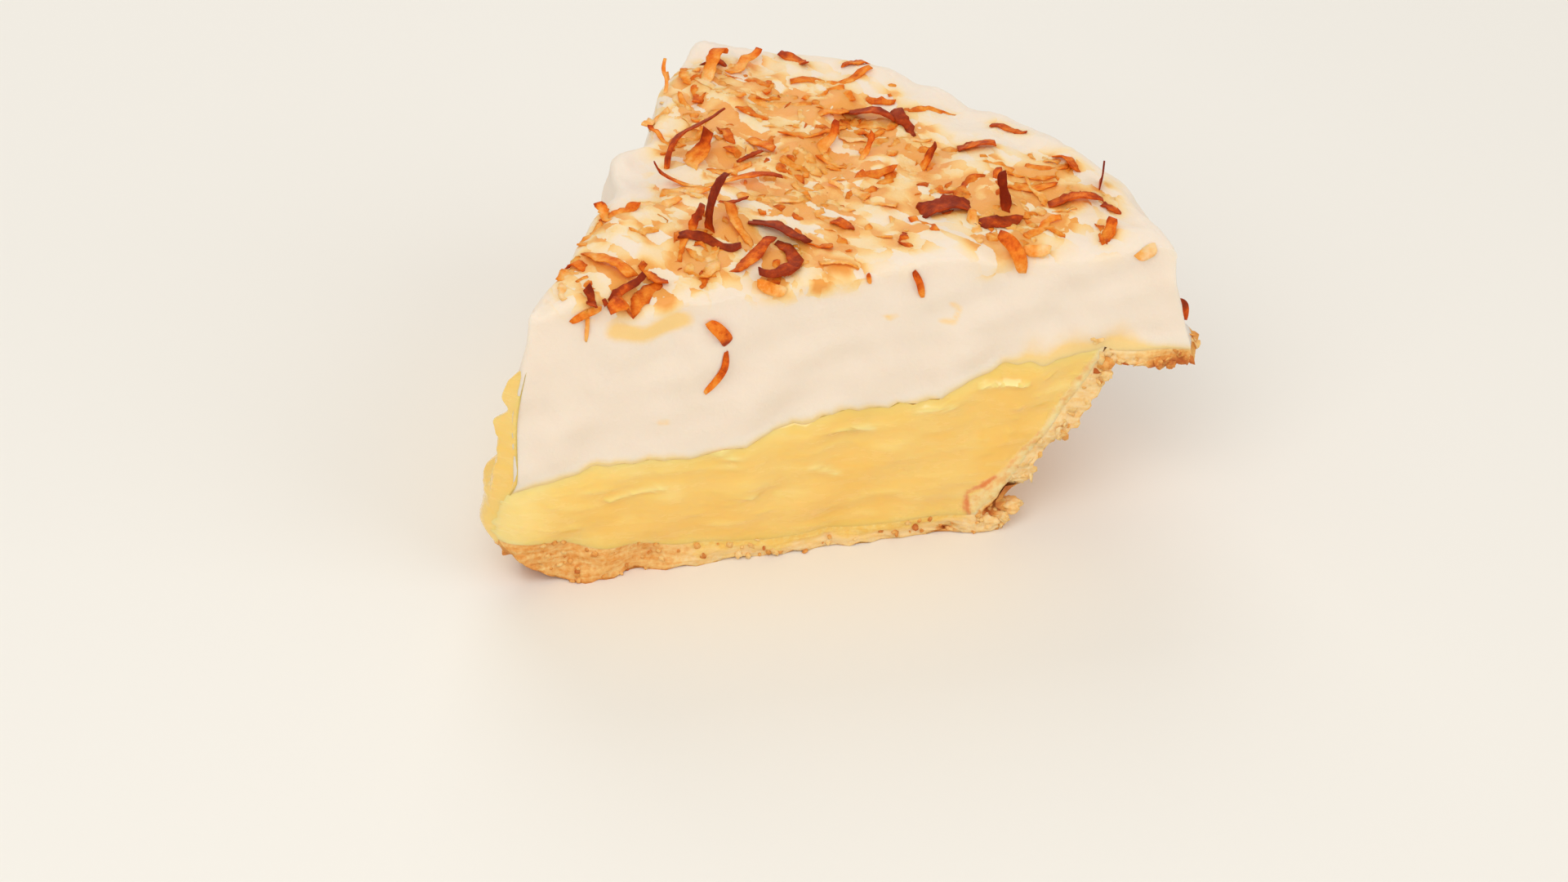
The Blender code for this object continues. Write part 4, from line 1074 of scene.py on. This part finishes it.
draw = np.random.default_rng(TONE_SEED)
shreds = scattered_shreds()
tones = draw.uniform(*LYING_TONES, len(shreds))
lying = coconut_piece("coconut_lying", shreds, tones, seed=93, sink=0.15, press=0.6, cups=(-0.06, 0.06))
shreds = small_shreds(SMALL_DRAWS, SMALL_SEED, SMALL_SMALLEST, SMALL_LARGEST)
tones = draw.uniform(*SMALL_TONES, len(shreds))
lowest_ground = top_of_meringue(shred_paths(shreds, SMALL_SEGMENTS)[0][..., :2]).min(axis=1)
on_top = lowest_ground > TOP_HEIGHT - STEEP_EDGE
shreds, tones = shreds[on_top], tones[on_top]
print("small shreds:", len(shreds), "kept,", np.sum(~on_top), "left out because an end would drop down a cut")
small = coconut_piece(
    "coconut_small", shreds, tones, seed=95, segments=SMALL_SEGMENTS, thickness=0.24, sink=0.05,
    press=0.7, cups=(-0.12, -0.03),
)

# %% [markdown]
# A few shreds were pushed over the edge or dragged down the near cut by the knife. They follow that cut
# instead of the top, so their paths are given by how far along the cut they are, how far they stand out
# from it and their height. A smooth curve is passed through those points. A width and how dark it is
# toasted come after the points of each.

# %% Shreds on the near cut
CUT_SHREDS = [
    ([(40.9, 0.1, 49.0), (40.4, 0.6, 50.6), (39.0, 0.9, 52.6), (37.2, 0.3, 54.2)], 2.6, 0.60),
    ([(40.8, 0.1, 47.2), (40.6, 0.5, 44.0), (39.2, 0.4, 41.0), (37.2, 0.1, 38.6)], 1.4, 0.58),
    ([(75.4, 0.1, 59.6), (76.5, 0.6, 57.2), (77.3, 0.1, 54.0)], 1.4, 0.62),
    ([(66.9, 0.1, 60.0), (67.3, 0.2, 57.9)], 0.9, 0.45),
    ([(92.6, -4.5, 62.8), (94.0, -1.2, 62.4), (95.4, 0.9, 59.8), (96.1, 0.9, 56.6)], 2.8, 0.50),
    ([(46.4, -0.2, 60.2), (49.0, 0.3, 59.2), (51.4, 0.1, 58.6)], 2.4, 0.32),
    ([(96.6, -0.6, 60.6), (99.0, -0.3, 60.2), (101.6, -0.5, 60.2)], 2.4, 0.25),
    ([(14.6, 0.2, 58.6), (14.8, 0.5, 56.0), (14.7, 0.1, 52.0)], 0.8, 0.38),
    ([(117.8, 0.1, 57.2), (119.8, 0.2, 58.2), (121.4, 0.1, 59.4)], 2.6, 0.12),
    ([(11.6, 0.1, 56.2), (14.4, 0.5, 57.8), (17.4, 0.4, 58.8)], 1.5, 0.45),
    ([(127.4, -0.9, 46.2), (128.9, -1.0, 44.5), (129.2, -0.9, 41.5)], 1.6, 0.82),
]


def on_near_cut(along, out, height):
    """A point given by its distance along the near cut, out from it, and its height."""
    base = cut_relief(np.column_stack([along[:, None] * NEAR_HEADING, height]))
    base[:, :2] += out[:, None] * NEAR_OUT
    return base


def cut_shred_paths():
    """Centres and side vectors of the ribbons that lie on the cut."""
    centres, sides = [], []
    for knots, _, _ in CUT_SHREDS:
        knots = np.array(knots)
        at = np.linspace(0, len(knots) - 1, SEGMENTS + 1)
        centre = on_near_cut(*(through(np.arange(len(knots)), column, at) for column in knots.T))
        forward = np.gradient(centre, axis=0)
        side = np.cross(np.append(NEAR_OUT, 0.5), forward)
        centres.append(centre)
        sides.append(unit(side))
    return np.array(centres), np.array(sides)


centre, side = cut_shred_paths()
share = np.linspace(0, 1, centre.shape[1])[None, :]
widths, tones = (np.array([shred[k] for shred in CUT_SHREDS])[:, None] for k in (1, 2))
width = widths * (1 - 0.45 * np.abs(2 * share - 1) ** 4)
none = 0 * width
points = ribbon(centre, side, width, 0.45, 0.04 + none, none, 0.4 * (2 * share - 1) ** 3 + none)
tone = tones + 0.16 * (1 - 2 * share)
new_piece(
    "coconut_on_cut", points.reshape(-1, 3), ribbon_faces(*points.shape[:3]), coconut_finish,
    "toasted_coconut", tone=np.repeat(tone[..., None], AROUND, axis=2).reshape(-1),
)

# %% [markdown]
# The stain follows the coconut. Every step of every shred on top drops a little colour on a flat map, the
# map is blurred with a Gaussian, and each point of the meringue reads its own value from it. The blur
# is one multiplication after a Fourier transform. Where the map is full, more colour adds little, which is
# what 1 - exp(-rate * amount) does. A close and a wide blur are added up, each with its width, its most and
# its rate. Strokes without a shred are added too, where sugar browned by itself, and a few patches.

# %% Stain round the coconut
MAP_SIZE, MAP_CELL = 320, 0.5
MAP_CORNER = np.array([-10.0, -80.0])
STROKES, STROKE_SEED = 130, 101
STROKE_SMALLEST, STROKE_LARGEST = (-180, 3.0, 2.0, -60, 0, 0, 0), (180, 9.0, 4.0, 60, 0, 0, 0)
STAIN_BLURS = [(1.1, 0.75, 1.1), (3.5, 0.5, 1.6)]
BROWNED = [
    (70, -32, 11, 4.5, -30), (95, -40, 12, 6, -30), (62, 13, 9, 5, 25), (46, -12, 9, 7, -30),
    (84, 18, 9, 7, 0), (95, 3, 5, 8, 0), (22, -4, 6, 5, -30),
]
BROWNED_MORE = 0.18


def blurred_map(points, areas, sigma):
    """Share of each cell that the areas cover, after a Gaussian blur of width sigma."""
    edges = [MAP_CORNER[axis] + MAP_CELL * np.arange(MAP_SIZE + 1) for axis in (0, 1)]
    marks = np.histogram2d(points[:, 0], points[:, 1], bins=edges, weights=areas)[0] / MAP_CELL**2
    rate = 2 * math.pi * np.fft.fftfreq(MAP_SIZE, MAP_CELL)
    blur = np.exp(-0.5 * sigma**2 * (rate[:, None] ** 2 + rate[None, :] ** 2))
    return np.fft.ifft2(np.fft.fft2(marks) * blur).real


def read_map(stain, plan):
    """The map's value at each point, blended from its four nearest cells."""
    at = np.clip((plan - MAP_CORNER) / MAP_CELL - 0.5, 0, MAP_SIZE - 2.001)
    cell = at.astype(int)
    u, v = (at - cell).T
    i, j = cell.T
    low = stain[i, j] * (1 - u) + stain[i + 1, j] * u
    return low * (1 - v) + (stain[i, j + 1] * (1 - u) + stain[i + 1, j + 1] * u) * v


strokes = small_shreds(STROKES, STROKE_SEED, STROKE_SMALLEST, STROKE_LARGEST)
marks = [standing, lying, small, (shred_paths(strokes, SEGMENTS)[0], strokes[:, 3] * strokes[:, 4])]
spots = np.concatenate([path[..., :2].reshape(-1, 2) for path, _ in marks])
areas = np.concatenate([np.repeat(area / path.shape[1], path.shape[1]) for path, area in marks])
stain = sum(
    most * (1 - np.exp(-rate * np.clip(blurred_map(spots, areas, sigma), 0, None)))
    for sigma, most, rate in STAIN_BLURS
)
toast = read_map(stain, meringue.points[:, :2])
toast += BROWNED_MORE * (1 - step(from_ellipses(meringue.points[:, :2], BROWNED), 0.5, 1.4))
toast *= step(meringue.points[:, 2], 54.0, 59.5)
meringue_looks.data.attributes["toast"].data.foreach_set("value", toast.astype(np.float32))
print("stain up to", toast.max().round(2), "and", toast[upper > 0].mean().round(2), "on average on top")

# %% [markdown]
# Broken pastry is lumpy. Rough balls of it, squashed and turned, are half sunk into the crust along the
# outer edge of both cuts. Four larger ones, the teeth, are placed on the near cut: three at its toe,
# and one that fills the corner of the lip. Each has its place along the cut, its height and its half sizes.

# %% Lumps on the crust's broken edges
TOE_TEETH = [
    (99.2, 11.2, 2.0, 1.6, 1.2),
    (97.6, 4.3, 2.8, 1.8, 1.3),
    (93.2, 2.0, 2.0, 1.4, 1.5),
    (111.5, 40.3, 1.8, 1.4, 1.2),
]
LUMP_SEED, LUMPS, LUMP_RINGS, LUMP_LEVEL, LUMP_SIZE = 21, 28, (1.5, 19.0), 0.25, (0.7, 1.5)
TOOTH_INSET, LUMP_INSET, LUMP_ROUGHNESS = 1.0, 0.2, 0.55


def set_in(tree, point):
    """The point of the crust nearest to this one, moved in by a little."""
    middle = np.append(FOOTPRINT_MIDDLE, 0)
    spot, normal, _, _ = tree.find_nearest(Vector(((point - middle) * MM).tolist()))
    return np.array(spot) / MM + middle - LUMP_INSET * np.array(normal)


def crust_lumps(tree):
    """Middle, half sizes and turn of every tooth and lump, from the same draws as the solid's.

    The tooth in the lip's corner isn't on the solid.
    """
    draw = np.random.default_rng(LUMP_SEED)
    angle = np.where(np.arange(LUMPS) % 2 == 1, 0.5, -0.5) * SLICE_ANGLE
    ring, level = draw.uniform(*LUMP_RINGS, LUMPS), draw.uniform(0, LUMP_LEVEL, LUMPS)[:, None]
    middles = cut_relief(crust_outside(ring, angle) * (1 - level) + crust_inside(ring, angle) * level)
    sizes = draw.uniform(*LUMP_SIZE, (LUMPS, 1)) * draw.uniform(0.6, 1.0, (LUMPS, 3))
    turns = draw.uniform(-math.pi, math.pi, (LUMPS, 3))
    middles[:, 2] = np.maximum(middles[:, 2], sizes.max(axis=1) + 0.1)
    middles[:, :2] = [set_in(tree, middle)[:2] for middle in middles]
    along, height, *tooth_sizes = np.array(TOE_TEETH).T
    teeth = on_near_cut(along, np.full(len(along), -TOOTH_INSET), height)
    tooth_turns = [(0.0, 0.0, -SLICE_ANGLE / 2)] * len(TOE_TEETH)
    return (
        np.vstack([teeth, middles]), np.vstack([np.transpose(tooth_sizes), sizes]),
        np.vstack([tooth_turns, turns]),
    )


def lump_mesh(middles, sizes, turns):
    """A rough ball for each lump: an icosphere, let in and out by grain, squashed, turned and moved."""
    ball = bmesh.new()
    bmesh.ops.create_icosphere(ball, subdivisions=4, radius=1.0)
    corners = np.array([vertex.co for vertex in ball.verts])
    faces = np.array([[vertex.index for vertex in face.verts] for face in ball.faces])
    points = []
    for number, (middle, size, turn) in enumerate(zip(middles, sizes, turns)):
        reach_there = 1 + LUMP_ROUGHNESS * fine_grain(corners + 3.7 * number, 0.8, 102, octaves=4)
        points.append((corners * reach_there[:, None] * size) @ np.array(Euler(turn).to_matrix()).T + middle)
    starts = np.arange(len(middles))[:, None, None] * len(corners)
    return np.concatenate(points), (faces[None] + starts).reshape(-1, 3)


def crust_bits(name, points, faces, brown):
    """A piece of many bits of broken crust, which are cut all round and dry."""
    none = np.zeros(len(points))
    finish = crust_looks.data.materials[0]
    new_piece(name, points, faces, finish, "baked_crust", cut=none + 1, brown=brown, wet=none)


points, faces = lump_mesh(*crust_lumps(tree_of(crust_looks)))
points[:, 2] = np.maximum(points[:, 2], 0.0)
crust_bits("crust_lumps", points, faces, 0.1 + 0.7 * near_stroke(points, BAKED_LIP, LIP_SPREAD))

# %% [markdown]
# Soft custard was dragged up the far side of the tip when the slice was lifted out. It is a patch of the
# far cut that stands proud of it. Tables give how far it stands out and reaches along at each height.

# %% Smear of custard by the tip
SMEAR_HEIGHT = [9.0, 12.0, 18.0, 20.5, 24.0, 27.5, 30.0, 35.0, 37.5, 39.5, 43.0, 45.0, 46.5]
SMEAR_OUT = [0.2, 0.6, 1.1, 2.2, 4.0, 3.2, 2.9, 3.3, 0.8, 1.7, 1.9, 1.0, 0.0]
SMEAR_REACH = [8.0, 12.0, 15.0, 15.0, 14.0, 12.0, 11.0, 9.0, 6.0, 6.5, 6.0, 4.0, 2.0]
SMEAR_START, SMEAR_EDGE, SMEAR_BACK = -0.35, 1.3, 0.8
SMEAR_ROWS, SMEAR_COLUMNS = 120, 60


def smear_patch():
    """A closed lattice of height by distance along the cut.

    From the tip's edge it rises at once, and past that it falls off to nothing as 1 - t^2, where t is the
    share of the reach.
    """
    corners, quads = cube_skin(SMEAR_ROWS, SMEAR_COLUMNS, 1)
    i, j, k = corners.T
    height = SMEAR_HEIGHT[0] + (SMEAR_HEIGHT[-1] - SMEAR_HEIGHT[0]) * i / SMEAR_ROWS
    along = SMEAR_START + through(SMEAR_HEIGHT, SMEAR_REACH, height) * j / SMEAR_COLUMNS
    points = cut_relief(np.column_stack([along[:, None] * FAR_HEADING, height]))
    lumps = 1 + 0.35 * fine_grain(points, 4.0, 96)
    proud = through(SMEAR_HEIGHT, SMEAR_OUT, height) * step(along, SMEAR_START, SMEAR_EDGE)
    proud *= 1 - (j / SMEAR_COLUMNS) ** 2
    points[:, :2] += np.where(k == 1, proud * lumps - 0.1, -SMEAR_BACK)[:, None] * FAR_OUT
    return points, quads


points, quads = smear_patch()
none = np.zeros(len(points))
new_piece("custard_smear", points, quads, thin_custard, "custard", pale=none + 0.3, crumb=none, brown=none)

# %% [markdown]
# A knife also leaves loose flakes where it breaks the crust. They are thin bent chips, set into the cut
# wall and the rim. Crumbs are smaller, thicker chips along the foot of the cuts. Four numbers make a chip:
# its radius, how narrow it is, how much it bends and its thickness.

# %% Flakes and crumbs of crust
CHIP_CORNERS = 8
CHIP_POINTS = 2 * CHIP_CORNERS + 2
FLAKES, FLAKE_SMALLEST, FLAKE_LARGEST = 420, [0.5, 0.45, -0.25, 0.14], [1.7, 0.9, 0.35, 0.3]
CRUMBS, CRUMB_SMALLEST, CRUMB_LARGEST = 170, [0.25, 0.7, -0.1, 0.25], [0.75, 1.0, 0.1, 0.6]
FLAKE_INSET = 0.15


def chips(places, normals, sizes, seed):
    """Thin closed chips: two dished rings of points, one above the other, with a middle point each."""
    draw = np.random.default_rng(seed)
    count = len(places)
    tilt = unit(normals + draw.normal(size=(count, 3)) * 0.55)
    first = unit(np.cross(tilt, draw.normal(size=(count, 3))))
    second = np.cross(tilt, first)
    turn = np.linspace(0, 2 * math.pi, CHIP_CORNERS, endpoint=False)[None, :]
    edge = sizes[:, :1] * (1 + 0.3 * draw.uniform(-1, 1, (count, CHIP_CORNERS)))
    u, v = edge * np.cos(turn), edge * np.sin(turn) * sizes[:, 1:2]
    bend = (u**2) * sizes[:, 2:3] / np.maximum(sizes[:, :1], 0.1)
    rings = []
    for shift in (0.5, -0.5):
        height = bend + shift * sizes[:, 3:4]
        rings.append(
            places[:, None] + u[..., None] * first[:, None] + v[..., None] * second[:, None]
            + height[..., None] * tilt[:, None]
        )
    middles = [places + tilt * shift * 1.6 * sizes[:, 3:4] for shift in (0.5, -0.5)]
    points = np.concatenate([rings[0], rings[1], middles[0][:, None], middles[1][:, None]], axis=1)
    n = CHIP_CORNERS
    pairs = [(k, (k + 1) % n) for k in range(n)]
    faces = [[a, b, 2 * n] for a, b in pairs] + [[n + b, n + a, 2 * n + 1] for a, b in pairs]
    faces += [[b, a, n + a] for a, b in pairs] + [[b, n + a, n + b] for a, b in pairs]
    starts = np.arange(count)[:, None, None] * CHIP_POINTS
    return points.reshape(-1, 3), (starts + np.array(faces)[None]).reshape(-1, 3)


def crust_spots(mask, count, seed):
    """Random points of the crust's skin where a mask is true, with their normals and the draw."""
    draw = np.random.default_rng(seed)
    chosen = draw.choice(np.flatnonzero(mask), count, replace=False)
    return crust.points[chosen], crust_normals[chosen], draw


crust_normals = normals_of(crust.points, crust.quads)
ragged = (crust.on_cut > 0) & (crust.ring > 8.5) | (crust.ring > 17.5) & (crust.level < 0.99)
places, normals, draw = crust_spots(ragged, FLAKES, 97)
sizes = draw.uniform(FLAKE_SMALLEST, FLAKE_LARGEST, (FLAKES, 4))
points, faces = chips(places - normals * FLAKE_INSET, normals, sizes, 98)
brown = np.repeat(np.clip(draw.normal(0.15, 0.22, FLAKES), 0, 1), CHIP_POINTS)
brown = np.clip(brown + 0.7 * near_stroke(points, BAKED_LIP, LIP_SPREAD), 0, 1)
crust_bits("crust_flakes", points, faces, brown)

floor_edge = (crust.on_cut > 0) & (crust.ring > 1.5) & (crust.ring < 9.5)
places, normals, draw = crust_spots(floor_edge, CRUMBS, 99)
sizes = draw.uniform(CRUMB_SMALLEST, CRUMB_LARGEST, (CRUMBS, 4))
points, faces = chips(places, normals, sizes, 100)
points[:, 2] = np.maximum(points[:, 2], 0.02)
brown = np.repeat(np.clip(draw.normal(0.45, 0.2, CRUMBS), 0, 1), CHIP_POINTS)
crust_bits("crust_crumbs", points, faces, brown)

# %% [markdown]
# The picture was taken from above with a long lens, from between the tip and the near cut, in very soft
# light. The floor is plain and pale. The key lamp is up at the camera's left. The fill, at its right, lights
# the near cut, and the third lamp is behind the slice. An even sky lights the rest. A lamp has a name, a
# place in metres, a size, a power and a tint.

# %% Floor, light and camera
CAMERA_PLACE = np.array([-437.35, -484.83, 486.69])
CAMERA_HEADING, CAMERA_PITCH, CAMERA_ROLL = math.radians(43.5), math.radians(34.693), math.radians(-2.710)
CAMERA_LENS = 101.72
LAMPS = [
    ("key", (-0.75, -0.35, 0.95), 0.9, 6.2, (1.0, 0.98, 0.95)),
    ("fill", (0.35, -1.0, 0.7), 1.0, 3.3, (1.0, 0.98, 0.96)),
    ("back", (0.6, 0.9, 0.9), 0.9, 4.0, (1.0, 0.99, 0.97)),
]
LAMP_AIM = Vector((0, 0, 0.03))
SKY_TINT, SKY_STRENGTH = (1.0, 0.99, 0.98, 1.0), 0.55
FLOOR_REACH = 3


def camera_turn(heading, pitch, roll):
    """Rotation whose columns are right, up and back for a camera that looks along a heading, pitched down."""
    level = np.array([math.cos(heading), math.sin(heading), 0])
    forward = level * math.cos(pitch) - np.array([0, 0, math.sin(pitch)])
    right = np.array([math.sin(heading), -math.cos(heading), 0])
    down = np.cross(forward, right)
    rolled_right = math.cos(roll) * right + math.sin(roll) * down
    rolled_down = -math.sin(roll) * right + math.cos(roll) * down
    return Matrix(np.column_stack([rolled_right, -rolled_down, -forward]).tolist())


def add_camera():
    """The camera of the picture, in its place."""
    camera = add_object("camera", bpy.data.cameras.new("camera"))
    camera.data.lens = CAMERA_LENS
    camera.data.clip_start = 0.01
    turn = camera_turn(CAMERA_HEADING, CAMERA_PITCH, CAMERA_ROLL).to_4x4()
    camera.matrix_world = Matrix.Translation(to_frame(CAMERA_PLACE[None])[0].tolist()) @ turn
    bpy.context.scene.camera = camera


def add_lamp(name, spot, size, power, tint):
    """A square lamp that points at the slice."""
    lamp = add_object(name, bpy.data.lights.new(name, "AREA"))
    lamp.data.size, lamp.data.energy, lamp.data.color = size, power, tint
    lamp.location = spot
    lamp.rotation_euler = (LAMP_AIM - Vector(spot)).to_track_quat("-Z", "Y").to_euler()


def add_floor():
    """A wide pale floor, which isn't part of the slice."""
    finish = Finish("pale_floor", Roughness=0.6, Base_Color=colour(242, 238, 229))
    mesh = bpy.data.meshes.new("floor")
    corners = [(x * FLOOR_REACH, y * FLOOR_REACH, 0) for x, y in ((-1, -1), (1, -1), (1, 1), (-1, 1))]
    mesh.from_pydata(corners, [], [(0, 1, 2, 3)])
    mesh.materials.append(finish.material)
    floor = add_object("floor", mesh)


def add_sky():
    """An even sky, which lights the slice from all sides."""
    world = bpy.data.worlds.new("sky")
    world.use_nodes = True
    background = world.node_tree.nodes["Background"]
    background.inputs["Color"].default_value = SKY_TINT
    background.inputs["Strength"].default_value = SKY_STRENGTH
    bpy.context.scene.world = world


add_floor()
add_camera()
for lamp in LAMPS:
    add_lamp(*lamp)
add_sky()
bpy.context.scene.view_settings.view_transform = "Standard"
print("camera at", [round(c, 3) for c in bpy.context.scene.camera.location])
